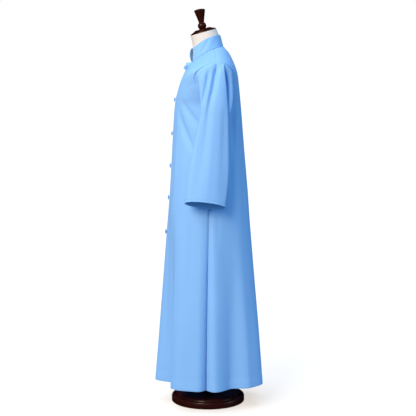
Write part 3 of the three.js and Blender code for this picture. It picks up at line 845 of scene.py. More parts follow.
class Board:
    """The shader nodes of one new material."""

    def __init__(self, name: str) -> None:
        """Starts a material with a principled shader.

        Args:
            name: The material's name.
        """
        self.material = bpy.data.materials.new(name)
        self.material.use_nodes = True
        self.tree = self.material.node_tree
        self.shader = self.tree.nodes["Principled BSDF"]

    def add(self, kind: str, **settings: object) -> bpy.types.Node:
        """A new node.

        Args:
            kind: The node's type.
            settings: Its properties, and its inputs by name with spaces as underscores.

        Returns:
            The node.
        """
        node = self.tree.nodes.new(kind)
        for key, value in settings.items():
            if hasattr(node, key):
                setattr(node, key, value)
            else:
                node.inputs[key.replace("_", " ")].default_value = value
        return node

    def link(self, out: bpy.types.NodeSocket, to: bpy.types.NodeSocket) -> None:
        """Joins an output to an input."""
        self.tree.links.new(out, to)

    def set(self, **values: object) -> None:
        """Sets the shader's own inputs, named with underscores for spaces."""
        for key, value in values.items():
            self.shader.inputs[key.replace("_", " ")].default_value = value

    def math(self, operation: str, a: bpy.types.NodeSocket, b: object) -> bpy.types.NodeSocket:
        """An operation on an output and another output or a number.

        Args:
            operation: The operation's name.
            a: The first value's output.
            b: The second value's output, or the value itself.

        Returns:
            The result's output.
        """
        node = self.add("ShaderNodeMath", operation=operation)
        self.link(a, node.inputs[0])
        if isinstance(b, bpy.types.NodeSocket):
            self.link(b, node.inputs[1])
        else:
            node.inputs[1].default_value = b
        return node.outputs[0]

    def ramp(self, factor: bpy.types.NodeSocket,
             stops: Sequence[tuple[float, tuple]]) -> bpy.types.NodeSocket:
        """A colour for each place between 0 and 1.

        Args:
            factor: The place.
            stops: Places with their colours, from the first to the last.

        Returns:
            The colour's output.
        """
        node = self.add("ShaderNodeValToRGB")
        elements = node.color_ramp.elements
        while len(elements) < len(stops):
            elements.new(0.5)
        for element, (at, colour) in zip(elements, stops):
            element.position = at
            element.color = colour
        self.link(factor, node.inputs[0])
        return node.outputs[0]

    def noise(self, place: bpy.types.NodeSocket, **settings: float) -> bpy.types.NodeSocket:
        """A noise.

        Args:
            place: Where on the piece it is read.
            settings: Its inputs by name.

        Returns:
            The noise's output.
        """
        node = self.add("ShaderNodeTexNoise", **settings)
        self.link(place, node.inputs["Vector"])
        return node.outputs["Fac"]

    def stretched(self, scale: Triple) -> bpy.types.NodeSocket:
        """Places on the object in metres, times a scale along each axis.

        Args:
            scale: The three factors.

        Returns:
            The places' output.
        """
        place = self.add("ShaderNodeTexCoord")
        stretch = self.add("ShaderNodeMapping")
        stretch.inputs["Scale"].default_value = scale
        self.link(place.outputs["Object"], stretch.inputs["Vector"])
        return stretch.outputs["Vector"]

    def colour(self, factor: bpy.types.NodeSocket, stops: Sequence[tuple[float, tuple]]) -> None:
        """Gives the shader a base colour that runs through some stops."""
        self.link(self.ramp(factor, stops), self.shader.inputs["Base Color"])

    def relief(self, height: bpy.types.NodeSocket, strength: float, distance: float) -> None:
        """Gives the shader a bump.

        Args:
            height: The height's output, from 0 to 1.
            strength: How much of it shows.
            distance: The full height in mm.
        """
        bump = self.add("ShaderNodeBump", Strength=strength, Distance=distance * MM)
        self.link(height, bump.inputs["Height"])
        self.link(bump.outputs["Normal"], self.shader.inputs["Normal"])


@dataclass(frozen=True)
class WovenFinish:
    """Plain woven cloth: two sets of threads, slubs, soft unevenness and a nap."""

    name: str
    light: Colour
    dark: Colour
    pitch: float = 0.5  # between threads, mm
    relief: float = 0.06  # height of a thread, mm
    roughness: float = 0.8
    sheen: float = 0.12
    specular: float = 0.25
    waves_for_pitch: float = 0.314  # the wave texture's scale for threads 1 m apart

    def material(self) -> bpy.types.Material:
        """Makes the cloth's material, with its weave along the grain.

        Returns:
            The material.
        """
        board = Board(self.name)
        board.set(Roughness=self.roughness, Sheen_Weight=self.sheen, Sheen_Roughness=0.45,
                  Specular_IOR_Level=self.specular)
        place = board.add("ShaderNodeTexCoord")
        scale = self.waves_for_pitch / (self.pitch * MM)
        threads = []
        for direction in ("X", "Y"):
            wave = board.add("ShaderNodeTexWave", bands_direction=direction, Scale=scale,
                             Distortion=0.4, Detail=1.0, Detail_Scale=0.02)
            board.link(place.outputs["UV"], wave.inputs["Vector"])
            threads.append(wave.outputs["Fac"])
        weave = board.math("MULTIPLY", *threads)
        slub = board.noise(place.outputs["Object"], Scale=420.0, Detail=3.0)
        cloud = board.noise(place.outputs["Object"], Scale=5.5, Detail=4.0, Roughness=0.55)
        mix = board.math("ADD", board.math("MULTIPLY", weave, 0.35), board.math("MULTIPLY", slub, 0.25))
        mix = board.math("ADD", mix, board.math("MULTIPLY", cloud, 0.4))
        board.colour(mix, [(0.15, self.dark), (0.75, self.light)])
        board.relief(board.math("ADD", weave, board.math("MULTIPLY", slub, 0.5)), 0.35, self.relief)
        return board.material


@dataclass(frozen=True)
class VarnishedWood:
    """Dark stained turned wood under gloss varnish."""

    name: str = "dark turned wood"
    dark: Colour = srgb(30, 6, 3)
    middle: Colour = srgb(50, 12, 6)
    light: Colour = srgb(86, 26, 13)

    def material(self) -> bpy.types.Material:
        """Makes the wood's material, with fine grain in long streaks.

        Returns:
            The material.
        """
        board = Board(self.name)
        board.set(Roughness=0.4, Coat_Weight=0.2, Coat_Roughness=0.12, Specular_IOR_Level=0.15)
        place = board.stretched((9.0, 60.0, 60.0))
        grain = board.noise(place, Scale=4.0, Detail=6.0, Roughness=0.65, Distortion=0.6)
        board.colour(grain, [(0.28, self.dark), (0.52, self.middle), (0.78, self.light)])
        board.relief(board.noise(place, Scale=22.0, Detail=3.0), 0.25, 0.1)
        return board.material


@dataclass(frozen=True)
class SatinSteel:
    """Steel with fine drawn lines along the tube."""

    name: str = "steel pole"
    light: Colour = srgb(168, 170, 174)
    dark: Colour = srgb(118, 120, 124)

    def material(self) -> bpy.types.Material:
        """Makes the steel's material.

        Returns:
            The material.
        """
        board = Board(self.name)
        board.set(Metallic=1.0, Roughness=0.32)
        lines = board.noise(board.stretched((900.0, 900.0, 6.0)), Scale=1.0, Detail=4.0)
        board.colour(lines, [(0.3, self.dark), (0.7, self.light)])
        board.relief(lines, 0.2, 0.03)
        return board.material


@dataclass(frozen=True)
class StudioPaper:
    """The plain white floor, which glows a little so that its shadows stay light."""

    name: str = "studio paper"
    white: Colour = (0.25, 0.262, 0.28, 1.0)
    glow: Colour = (0.675, 0.605, 0.52, 1.0)

    def material(self) -> bpy.types.Material:
        """Makes the floor's material.

        Returns:
            The material.
        """
        board = Board(self.name)
        board.set(Base_Color=self.white, Roughness=0.9, Specular_IOR_Level=0.0,
                  Emission_Color=self.glow, Emission_Strength=1.0)
        return board.material


CASSOCK_CLOTH = WovenFinish("cassock cloth", srgb(151, 197, 246), srgb(142, 187, 236))
BUTTON_CLOTH = WovenFinish("covered button cloth", srgb(128, 178, 234), srgb(112, 162, 222), relief=0.05)
SEWING_THREAD = WovenFinish("sewing thread", srgb(150, 200, 252), srgb(128, 182, 244), pitch=0.25,
                            relief=0.03, sheen=0.3)
FORM_LINEN = WovenFinish("form linen", srgb(246, 227, 214), srgb(234, 214, 200), pitch=0.8, relief=0.1,
                         roughness=0.85)


# ------------------------------------------------------------------ panels


@dataclass
class Panels:
    """The two fronts and the back of the cassock."""

    surface: CassockSurface
    cloth: bpy.types.Material
    skirt_step: float = 9.0  # rows of the mesh are this far apart
    armhole_rows: int = 60
    shoulder_step: float = 5.5
    lap_columns: int = 12
    half_columns: int = 84
    side_dip: float = 2.6  # the cloth turns in at its seams by this much
    shoulder_dip: float = 0.8
    neck_dip: float = 0.3
    seam_round: float = 4.4  # and does so within about this distance
    shoulder_seam: float = 1430.0  # from this station on the armhole's edge is the shoulder seam
    hem_line: float = 47.0  # the hem's stitches lie this far up
    hem_dimple: float = 0.9
    hem_round: float = 4.5
    under_from: float = -2.4  # in laps from centre front, where the right front starts to go under
    under_run: float = 1.1  # and over how many laps it does so
    below_hole: float = 181.0  # stands for the turn in the rows below the armhole
    above_hole: float = -1.0

    def rows(self) -> tuple[Array, Array]:
        """The panels' rows.

        Returns:
            Each row's station in the middle of the panel, and its turn round the armhole,
            which is beyond 180 below the armhole and below 0 above it.
        """
        s = self.surface
        low, high = s.hole_station - s.hole_down, s.hole_station + s.hole_up
        skirt = np.linspace(HEM_Z, low, round((low - HEM_Z) / self.skirt_step) + 1)[:-1]
        share = np.linspace(0, 1, self.armhole_rows + 1)
        shoulder = np.linspace(high, NECK_STATION, round((NECK_STATION - high) / self.shoulder_step) + 1)[1:]
        stations = np.concatenate([skirt, lerp(low, high, share), shoulder])
        around = lerp(180.0, 0.0, share)
        turns = np.concatenate([0 * skirt + self.below_hole, around, 0 * shoulder + self.above_hole])
        return stations, turns

    def half(self, stations: Array, turns: Array, middle: Array, way: int) -> tuple[Array, Array]:
        """Places along the rows of a left half panel, from its middle line to its side edge.

        Args:
            stations: The rows' stations.
            turns: Their turns round the armhole.
            middle: The angle of the middle line in each row.
            way: -1 for a front, 1 for the back.

        Returns:
            Angles and stations by row and column.
        """
        s = self.surface
        seam = s.rings.at(stations)["seam"]
        edge_angle, edge_station = s.armhole(-way * np.clip(turns, 0, 180))
        top, shoulder = s.hole_station + s.hole_up, self.shoulder_seam
        shoulder_angle = float(s.rings.at(np.array([shoulder]))["seam"][0])
        above = lerp(SIDE_ANGLE, shoulder_angle, (stations - top) / (shoulder - top))
        above = np.where(stations < shoulder, above, seam)
        edge_angle = np.where(turns > 180, seam, np.where(turns < 0, above, edge_angle))
        edge_station = np.where((turns > 180) | (turns < 0), stations, edge_station)
        t = np.linspace(0, 1, self.half_columns + 1)[None]
        bend = t * t
        station = lerp(stations[:, None], edge_station[:, None], bend)
        angle = lerp(middle[:, None], seam[:, None], t) + (edge_angle - seam)[:, None] * (t + bend) / 2
        return angle + way * bend * s.angle_for(SEAM_GAP / 2, angle, station), station

    def wall(self, name: str, angle: Array, station: Array, seams: tuple[bool, bool],
             tuck: Array | float = 0.0) -> bpy.types.Object:
        """A panel's wall of cloth.

        Args:
            name: The piece's name.
            angle: Angles by row and column.
            station: Stations by row and column.
            seams: Whether the first and the last column are sewn edges.
            tuck: How far each place lies under.

        Returns:
            The panel.
        """
        s = self.surface
        outer = s.point(angle, station)
        normal = s.normal(angle, station)
        along = run_lengths(outer, 1)
        dip = np.zeros_like(along)
        turns = self.rows()[1]
        plain = np.where(turns < 0, self.shoulder_dip, self.side_dip)
        deep = np.where((turns >= 0) & (turns <= 180), armhole_dip(turns), plain)[:, None]
        for sewn, distance in zip(seams, (along, along[:, -1:] - along)):
            if sewn:
                dip = np.maximum(dip, deep * bell(distance, self.seam_round))
        up = run_lengths(outer, 0)
        dip = np.maximum(dip, self.neck_dip * bell(up[-1:] - up, self.seam_round))
        dip = dip + self.hem_dimple * bell(station - HEM_Z - self.hem_line, self.hem_round)
        face, lining = (tuck + dip)[..., None], (tuck + dip * SEAM_LINING + CLOTH)[..., None]
        return wall_object(name, outer - normal * face, outer - normal * lining, False)

    def front(self, side: Side) -> bpy.types.Object:
        """Builds one front; the right one runs on under the left one, further in.

        Args:
            side: Which one.

        Returns:
            The front.
        """
        s = self.surface
        stations, turns = self.rows()
        lap = s.lap_angle(stations)
        angle, station = self.half(stations, turns, lap, -1)
        shares = np.linspace(-1, 1, self.lap_columns + 1)[:-1]
        angle = np.concatenate([shares[None] * lap[:, None], angle], axis=1)
        station = np.concatenate([stations[:, None] + 0 * shares[None], station], axis=1)
        if side is Side.LEFT:
            return self.wall("left_front", angle, station, (False, True))
        angle, station = -angle[:, ::-1], station[:, ::-1]
        under = np.clip((angle / s.lap_angle(station) - self.under_from) / self.under_run, 0, 1)
        return self.wall("right_front", angle, station, (True, False), under * (CLOTH + 2 * SEAM_GAP))

    def back(self) -> bpy.types.Object:
        """Builds the back, whole from side seam to side seam.

        Returns:
            The back.
        """
        stations, turns = self.rows()
        angle, station = self.half(stations, turns, 0 * stations + 180, 1)
        angle = np.concatenate([angle[:, ::-1], FULL_TURN - angle[:, 1:]], axis=1)
        station = np.concatenate([station[:, ::-1], station[:, 1:]], axis=1)
        return self.wall("back_panel", angle, station, (True, True))

    def build(self) -> dict[str, bpy.types.Object]:
        """Builds and dresses the three panels.

        Returns:
            The panels by the names of the nodes that they stand for.
        """
        made = {
            "front_left": self.front(Side.LEFT),
            "front_right": self.front(Side.RIGHT),
            "back": self.back(),
        }
        for node, piece in made.items():
            dress(piece, self.cloth, "cassock_cloth", node)
        return made


@dataclass
class Collar:
    """The standing collar, open at the front."""

    surface: CassockSurface
    cloth: bpy.types.Material
    left_end: float = 24.0  # ring angles of its two front ends
    right_end: float = -9.0
    flare: float = 10.0  # the right end springs forward
    flare_from: float = 300.0  # from this angle on
    flare_peak: float = 0.8  # half turns of a sine up the collar
    wrinkle_height: float = 0.45  # as a share of the collar's
    lift: float = 0.2
    columns: int = 150
    rows: int = 18
    top: dict[str, float] = field(
        default_factory=lambda: {
            "zFront": 1455, "zSide": 1494, "zBack": 1511, "halfWidth": 60,
            "front": -64, "back": 49.5, "centre": -8, "square": 2,
        }
    )
    wrinkles: tuple[tuple[float, float, float, float, float], ...] = (
        # angle low, angle high, depth, width in degrees, height share of its middle
        (60, 105, -2.2, 4.5, 0.5),
        (82, 125, 1.0, 9.0, 0.55),
        (40, 52, -0.8, 7.0, 0.4),
        (118, 124, -0.6, 10.0, 0.5),
        (238, 229, -0.9, 8.0, 0.5),
        (300, 312, -1.1, 7.0, 0.45),
    )

    def build(self) -> bpy.types.Object:
        """Builds and dresses the collar.

        Returns:
            The collar.
        """
        t = np.linspace(0, 1, self.rows + 1)[:, None]
        last = FULL_TURN + self.right_end
        angle = np.linspace(self.left_end, last, self.columns + 1)[None]
        low = self.surface.rings.at(np.array(NECK_STATION))
        ring = {name: lerp(low[name], value, t) for name, value in self.top.items()}
        end = np.clip((angle - self.flare_from) / (last - self.flare_from), 0, 1)
        push = self.flare * end * end * np.sin(np.pi * t * self.flare_peak)
        for from_angle, to_angle, depth, width, middle in self.wrinkles:
            across = bell(angle - lerp(from_angle, to_angle, t), width)
            push = push + depth * across * bell(t - middle, self.wrinkle_height)
        outer = ring_point(ring, angle, push)
        outer[..., 2] += self.lift * (1 - t)
        normals = grid_normals(outer, False)
        piece = wall_object("standing_collar", outer, outer - normals * CLOTH, False)
        return dress(piece, self.cloth, "cassock_cloth", "collar")


# ------------------------------------------------------------------ sleeves


@dataclass
class Sleeve:
    """A wide sleeve, pleated at its head and open at the cuff."""

    surface: CassockSurface
    cloth: bpy.types.Material
    columns: int = 168
    rise: Triple = (10, 10, 95)  # underarm, side, shoulder
    drop: Triple = (30, 70, 120)
    lean: Triple = (8, 45, 90)
    twist: float = 24.0
    turn_power: float = 1.5  # how late the side's values become the shoulder's
    over_shoulder: Triple = (0.94, 0.0, -0.34)  # the cloth's way at the very top
    over_from: float = 0.55  # cosine of the turn where it starts to go that way
    over_run: float = 0.4
    into_share: float = 0.9  # lower down the cloth heads this far towards the armhole's middle height
    flatten: float = 0.4  # below the cap the folds are pushed mostly sideways
    cap_end: float = 0.45  # down to this row the folds are pushed square to the cap
    start_gap: float = SEAM_GAP + 0.1
    seam_round: float = 4.2
    cuff_line: float = 0.048  # rows from the cuff's edge to its stitches
    cuff_dimple: float = 0.6
    cuff_round: float = 0.014  # in rows
    row_runs: tuple[tuple[float, float, int], ...] = ((0, 0.2, 21), (0.2, 1, 55), (1, 2, 65))
    rings: RingTable = field(default_factory=lambda: RingTable(SLEEVE_COLUMNS, SLEEVE_RINGS))

    def by_turn(self, values: Triple, turn: Array) -> Array:
        """A value that goes from the underarm by the sides to the shoulder.

        Args:
            values: The value at the underarm, the sides and the shoulder.
            turn: Degrees round the armhole.

        Returns:
            The value at each turn.
        """
        underarm, side, shoulder = values
        c = np.cos(np.radians(turn))
        return np.where(c > 0, lerp(side, shoulder, np.abs(c) ** self.turn_power), lerp(side, underarm, -c))

    def start(self, turn: Array) -> tuple[Array, Array, Array]:
        """Where the sleeve starts round the armhole.

        Args:
            turn: Degrees round the armhole.

        Returns:
            The points, the way that the cloth leaves the body, and the way that it faces.
        """
        s = self.surface
        angle, station = s.armhole(turn)
        point, normal = s.point(angle, station), s.normal(angle, station)
        into = s.point(SIDE_ANGLE + 0 * angle, lerp(station, s.hole_station, self.into_share)) - point
        near = smooth_step((np.cos(np.radians(turn)) - self.over_from) / self.over_run)[:, None]
        into = lerp(unit(into), np.array(self.over_shoulder), near)
        into = unit(into - normal * (into * normal).sum(axis=-1, keepdims=True))
        lean = np.radians(self.by_turn(self.lean, turn))[:, None]
        away = normal * np.cos(lean) + into * np.sin(lean)
        return point, away, normal * np.sin(lean) - into * np.cos(lean)

    def ring_point(self, row: Array, turn: Array) -> Array:
        """Points of the hanging part.

        Args:
            row: Rows from 1 to 2.
            turn: Degrees round it, from its outer side.

        Returns:
            The points, with their coordinates on the last axis.
        """
        ring = self.rings.at(row)
        dx = ring["halfX"] * np.cos(np.radians(turn))
        dy = -ring["halfY"] * np.sin(np.radians(turn))
        z = ring["z"] + ring["lift"] * dx - ring["fall"] * dy
        return np.stack([ring["x"] + dx, ring["y"] + dy, z], axis=-1)

    def fold(self, turn: Array, row: Array) -> Array:
        """The pleats' and troughs' push.

        Args:
            turn: Degrees round the sleeve.
            row: Rows from 0 to 2.

        Returns:
            How far each place is pushed out.
        """
        total = np.zeros(np.broadcast(turn, row).shape)
        for f in SLEEVE_FOLDS + SLEEVE_CREASES:
            middle = SmoothCurve((0, 0.5, 1, 2), (f.head, f.crown, f.bicep, f.cuff))
            off = angle_between(turn, middle(row))
            across = off / np.where(off > 0, f.to_front, f.to_back)
            total += f.depth * hump(row, f.start, f.peak, f.end) * bell(across)
        return total

    def outer(self, turn: Array, row: Array) -> Array:
        """Points of the left sleeve's outer face.

        Args:
            turn: Degrees round the sleeve, one for each column.
            row: 0 at the armhole, 1 at the bicep, 2 at the cuff.

        Returns:
            Points by row and column.
        """
        point, away, facing = self.start(turn)
        front = np.maximum(np.sin(np.radians(turn)), 0)
        ring_turn = (turn - self.twist * front * front)[None]
        t = row[:, None]
        start = point + away * self.start_gap
        end = self.ring_point(np.ones_like(ring_turn), ring_turn)[0]
        leave = away * self.by_turn(self.rise, turn)[:, None]
        arrive = np.stack([0 * turn, 0 * turn, -self.by_turn(self.drop, turn)], axis=-1)
        head = hermite(start[None], end[None], leave[None], arrive[None], np.minimum(t, 1)[..., None])
        body = self.ring_point(np.maximum(t, 1) + 0 * ring_turn, ring_turn + 0 * t)
        points = np.where((t <= 1)[..., None], head, body)
        turned = np.radians(ring_turn)
        way = unit(np.stack([np.cos(turned), -self.flatten * np.sin(turned), 0 * turned], axis=-1))
        way = unit(lerp(facing[None], way, smooth_step(t / self.cap_end)[..., None]))
        dimple = self.cuff_dimple * bell(t - 2 + self.cuff_line, self.cuff_round)
        return points + way * (self.fold(ring_turn, t) - dimple)[..., None]

    def row_places(self) -> Array:
        """The rows of the mesh, closest together at the head."""
        runs = [np.linspace(low, high, steps + 1)[:-1] for low, high, steps in self.row_runs]
        return np.append(np.concatenate(runs), self.row_runs[-1][1])

    def build(self, side: Side) -> bpy.types.Object:
        """Builds and dresses one sleeve.

        Args:
            side: Which one.

        Returns:
            The sleeve.
        """
        turn = turns_round(self.columns)
        outer = self.outer(turn, self.row_places())
        inner = outer - grid_normals(outer, True) * CLOTH
        inner[0] = outer[0] - self.start(turn)[2] * CLOTH
        dip = (armhole_dip(turn) * bell(run_lengths(outer, 0), self.seam_round))[..., None]
        body = self.surface.normal(*self.surface.armhole(turn))[None]
        outer, inner = outer - body * dip, inner - body * dip * SEAM_LINING
        word = side.name.lower()
        if side is Side.RIGHT:
            outer, inner = outer[:, ::-1] * side.mirror, inner[:, ::-1] * side.mirror
        piece = wall_object(f"{word}_sleeve", outer, inner, True)
        return dress(piece, self.cloth, "cassock_cloth", f"sleeve_{word}")


# ------------------------------------------------------------------ sewing


@dataclass
class Sewing:
    """The rows of machine stitches round the hem and the cuffs."""

    surface: CassockSurface
    panels: Panels
    sleeve: Sleeve
    thread: bpy.types.Material
    length: float = 3.4  # of a stitch
    gap: float = 1.1
    radius: float = 0.28
    sides: int = 6
    levels: tuple[Triple, ...] = (
        # share of the length, thickness and height over the cloth, as shares of the radius
        (0, 0.35, -0.9), (0.18, 0.85, 0.1), (0.5, 1.0, 0.35), (0.82, 0.85, 0.1), (1.0, 0.35, -0.9),
    )
    hem_places: int = 400  # along the path
    cuff_places: int = 300
    cuff_step: float = 0.01  # rows above and below the path
    seam_end: float = 1.0  # the hem's rows end this many degrees from the side seams and the lap
    lap_end: float = 0.6  # and the left front's this many from its own edge

    def row(self, name: str, path: Array, normal: Array) -> bpy.types.Object:
        """A row of stitches along a path on the cloth.

        Args:
            name: The piece's name.
            path: Points of the path, on the cloth's face.
            normal: The cloth's outward normals there.

        Returns:
            One object that holds all the stitches of the row.
        """
        along = np.concatenate([[0], np.cumsum(np.linalg.norm(np.diff(path, axis=0), axis=1))])
        starts = np.arange(self.gap, along[-1] - self.length - self.gap, self.length + self.gap)

        def sample(values: Array, at: Array) -> Array:
            """The values at distances along the path."""
            return np.stack([np.interp(at, along, values[:, k]) for k in range(3)], axis=-1)

        shares, swell, height = np.array(self.levels).T
        turn = np.radians(turns_round(self.sides))[:, None]
        at = starts[:, None] + shares[None] * self.length
        centre = sample(path, at.ravel()).reshape(*at.shape, 3)
        out = unit(sample(normal, at.ravel())).reshape(*at.shape, 3)
        ahead = unit(centre[:, -1] - centre[:, 0])[:, None]
        across = unit(np.cross(ahead, out))
        ring = np.cos(turn) * across[:, :, None] + np.sin(turn) * out[:, :, None]
        centre = centre + out * (height * self.radius)[:, None]
        points = centre[:, :, None] + ring * (swell * self.radius)[:, None, None]
        size = points[0, ..., 0].size
        first = np.arange(len(points))[:, None] * size
        quads = first[..., None] + tube_faces(len(self.levels), self.sides)
        end = np.arange(self.sides)
        caps = (first + end[::-1]).tolist() + (first + size - self.sides + end).tolist()
        piece = make_object(name, points.reshape(-1, 3), quads.reshape(-1, 4).tolist() + caps)
        return dress(piece, self.thread, "cassock_cloth")

    def hem(self, name: str, start: float, end: float) -> bpy.types.Object:
        """Builds a stretch of the hem's stitches.

        Args:
            name: The piece's name.
            start: The angle where it starts.
            end: The angle where it ends.

        Returns:
            The stitches.
        """
        angle = np.linspace(start, end, self.hem_places)
        station = 0 * angle + HEM_Z + self.panels.hem_line
        normal = self.surface.normal(angle, station)
        return self.row(name, self.surface.point(angle, station) - normal * self.panels.hem_dimple, normal)

    def cuff(self, side: Side) -> bpy.types.Object:
        """Builds the stitches round one cuff.

        Args:
            side: Which one.

        Returns:
            The stitches.
        """
        turn = np.linspace(0, FULL_TURN, self.cuff_places)
        rows = 2 - self.sleeve.cuff_line + np.array([-self.cuff_step, 0, self.cuff_step])
        grid = self.sleeve.outer(turn, rows)
        normal = grid_normals(grid[::-1], False)[1]
        path = grid[1]
        if float(((path - path.mean(axis=0)) * normal).sum()) < 0:
            normal = -normal
        return self.row(f"{side.name.lower()}_cuff_stitches", path * side.mirror, normal * side.mirror)

    def build(self) -> dict[str, bpy.types.Object]:
        """Builds and dresses all the rows.

        Returns:
            The rows by the names of the nodes that they are sewn into.
        """
        lap = float(self.surface.lap_angle(np.array([HEM_Z]))[0])
        right_side, end = FULL_TURN - SIDE_ANGLE, self.seam_end
        return {
            "front_left": self.hem("left_hem_stitches", self.lap_end - lap, SIDE_ANGLE - end),
            "front_right": self.hem("right_hem_stitches", right_side + end, FULL_TURN - end - lap),
            "back": self.hem("back_hem_stitches", SIDE_ANGLE + end, right_side - end),
            "sleeve_left": self.cuff(Side.LEFT),
            "sleeve_right": self.cuff(Side.RIGHT),
        }


# ------------------------------------------------------------------ buttons


@dataclass(frozen=True)
class ButtonPlace:
    """A button's height, its place left of centre front and its lean to the left."""

    z: float
    x: float
    lean: float


BUTTONS = (
    ButtonPlace(1377, 34, 34),
    ButtonPlace(1251, 8, 10),
    ButtonPlace(1115, 8, 9),
    ButtonPlace(983, 8, 11),
    ButtonPlace(853, 8, 8),
    ButtonPlace(712, 8, 10),
)


@dataclass
class CoveredButtons:
    """Cloth-covered domed buttons, each on its shank."""

    surface: CassockSurface
    cloth: bpy.types.Material
    radius: float = 9.6
    edge: float = 1.1
    dome: float = 2.9
    shank: float = 1.8
    shank_radius: float = 3.5
    under: float = 0.93  # the underside's share of the radius
    waist: float = 0.82  # the shank's narrowest, as a share of its radius
    foot: float = 0.8  # from this share of the radius the edge rounds up
    rim_from: float = -60.0  # degrees below level where that rounding starts
    rim_steps: int = 4
    dome_steps: int = 11
    segments: int = 40
    clear: float = 0.1  # over the cloth, on top of the usual gap
    front_places: int = 4000

    def profile(self) -> Array:
        """The button's section, from its shank to the top of its dome.

        Returns:
            Radius and height pairs.
        """
        base = self.shank + self.edge
        inner = self.radius * self.under
        rim = np.radians(np.linspace(self.rim_from, 0, self.rim_steps + 1)[:-1])
        crown = np.radians(np.linspace(0, 90, self.dome_steps + 1)[:-1])
        points = [(0, 0), (self.shank_radius, 0), (self.shank_radius * self.waist, self.shank / 2),
                  (self.shank_radius, self.shank), (self.radius * self.foot, self.shank)]
        points += [(inner + (self.radius - inner) * math.cos(a), base + self.edge * math.sin(a)) for a in rim]
        points += [(self.radius * math.cos(a), base + self.dome * math.sin(a)) for a in crown]
        return np.array([*points, (0, base + self.dome)])

    def station_at_front(self, z: float) -> float:
        """The station whose ring has a height at centre front.

        Args:
            z: The height.

        Returns:
            The station.
        """
        stations = np.linspace(HEM_Z, NECK_STATION, self.front_places)
        heights = self.surface.rings.at(stations)["zFront"]
        return float(np.interp(z, heights, stations))

    def build(self) -> list[bpy.types.Object]:
        """Builds and dresses the buttons.

        Returns:
            The buttons, from the neck down.
        """
        made = []
        for number, spot in enumerate(BUTTONS, start=1):
            station = np.array([self.station_at_front(spot.z)])
            angle = self.surface.angle_for(spot.x, np.array([0.0]), station)
            normal = self.surface.normal(angle, station)[0]
            lean = math.radians(spot.lean)
            tip = math.sin(lean) * self.radius * self.under - self.shank
            tip = max(tip, math.sin(lean) * self.shank_radius)
            seat = self.surface.point(angle, station)[0] + normal * (SEAM_GAP + tip + self.clear)
            facing = Vector((0, 0, 1)).rotation_difference(Vector(normal)).to_matrix().to_4x4()
            matrix = Matrix.Translation(Vector(seat)) @ Matrix.Rotation(lean, 4, "Z") @ facing
            piece = lathe_object(f"covered_button_{number}", self.profile(), self.segments)
            place(piece, matrix)
            made.append(dress(piece, self.cloth, "covered_button", f"button_{number}"))
        return made


# ------------------------------------------------------------------ the dress form and its stand


@dataclass
class DressForm:
    """The linen-covered torso with its neck, over which the cassock hangs."""

    surface: CassockSurface
    linen: bpy.types.Material
    clear_shoulder: float = 1.9
    clear_front: float = 9.0
    clear_back: float = 5.0
    slope: tuple[float, float] = (-3.0, 1.0)  # stations down and up that give the shoulders' slope
    columns: int = 128
    steps: int = 5  # rows of the mesh in each stretch
    rim: float = 1.2
    rim_turn: float = 50.0
    stations: tuple[float, ...] = (745, 790, 850, 940, 1040, 1130, 1205, 1265, 1310)
    shoulder_stations: tuple[float, ...] = (1408, 1430, 1465, 1508, 1530, 1550)
    ring_columns: tuple[str, ...] = (
        "station", "zFront", "zSide", "zBack", "halfWidth", "front", "back", "centre", "square",
    )
    rings: tuple[tuple[float, ...], ...] = (
        (745, 745, 745, 745, 140, -96, 100, 2, 2.2),
        (850, 850, 850, 850, 158, -108, 118, 4, 2.2),
        (1040, 1040, 1040, 1040, 122, -96, 86, 0, 2.2),
        (1205, 1205, 1205, 1205, 150, -120, 104, 4, 2.3),
        (1310, 1285, 1310, 1300, 166, -108, 108, 20, 2.5),
    )
    neck: tuple[tuple[float, ...], ...] = (
        (0, 1406, 1448, 1469, 57, -61, 54.5, -2, 2),
        (1, 1459, 1489, 1513, 54, -61, 43, -9, 2),
        (2, 1507, 1521, 1536, 52, -70, 32, -19, 2),
    )

    def shoulder_ring(self, angle: Array, station: float) -> Array:
        """A ring close under the cloth over the shoulders.

        Args:
            angle: Angles of its points.
            station: The cloth's station over it.

        Returns:
            The points.
        """
        c = np.cos(np.radians(angle))
        middle = np.where(c > 0, self.clear_front, self.clear_back)
        away = CLOTH + self.clear_shoulder + middle * c * c

        def at(turn: Array, height: float) -> Array:
            """Points of the cloth's plain ring."""
            return ring_point(self.surface.rings.at(np.full_like(turn, height)), turn)

        below, above = self.slope
        around = at(angle + 1, station) - at(angle - 1, station)
        up = at(angle, station + above) - at(angle, station + below)
        return at(angle, station) - unit(np.cross(around, up)) * away[:, None]

    def build(self) -> bpy.types.Object:
        """Builds and dresses the torso.

        Returns:
            The torso.
        """
        angle = turns_round(self.columns)
        lower = RingTable(self.ring_columns, self.rings)
        rings = [ring_point(lower.at(np.full_like(angle, s)), angle) for s in self.stations]
        rings += [self.shoulder_ring(angle, s) for s in self.shoulder_stations]
        for row in self.neck:
            ring = {name: np.full_like(angle, value) for name, value in zip(self.ring_columns, row)}
            rings.append(ring_point(ring, angle))
        loft = SmoothCurve(np.arange(len(rings)), np.array(rings))
        grid = loft(np.linspace(0, len(rings) - 1, (len(rings) - 1) * self.steps + 1))
        rows, cols = grid.shape[:2]
        faces = tube_faces(rows, cols).tolist()
        faces += [list(range(cols - 1, -1, -1)), list(range((rows - 1) * cols, rows * cols))]
        grain = grain_of(grid, True)
        corners = [grain[:-1, :-1], grain[:-1, 1:], grain[1:, 1:], grain[1:, :-1]]
        uv = np.concatenate([np.stack(corners, axis=2).reshape(-1, 2), np.zeros((2 * cols, 2))])
        piece = make_object("linen_torso", grid.reshape(-1, 3), faces, uv, self.rim_turn)
        soften_rims(piece, self.rim, self.rim_turn)
        return dress(piece, self.linen, "form_linen", "form_torso")


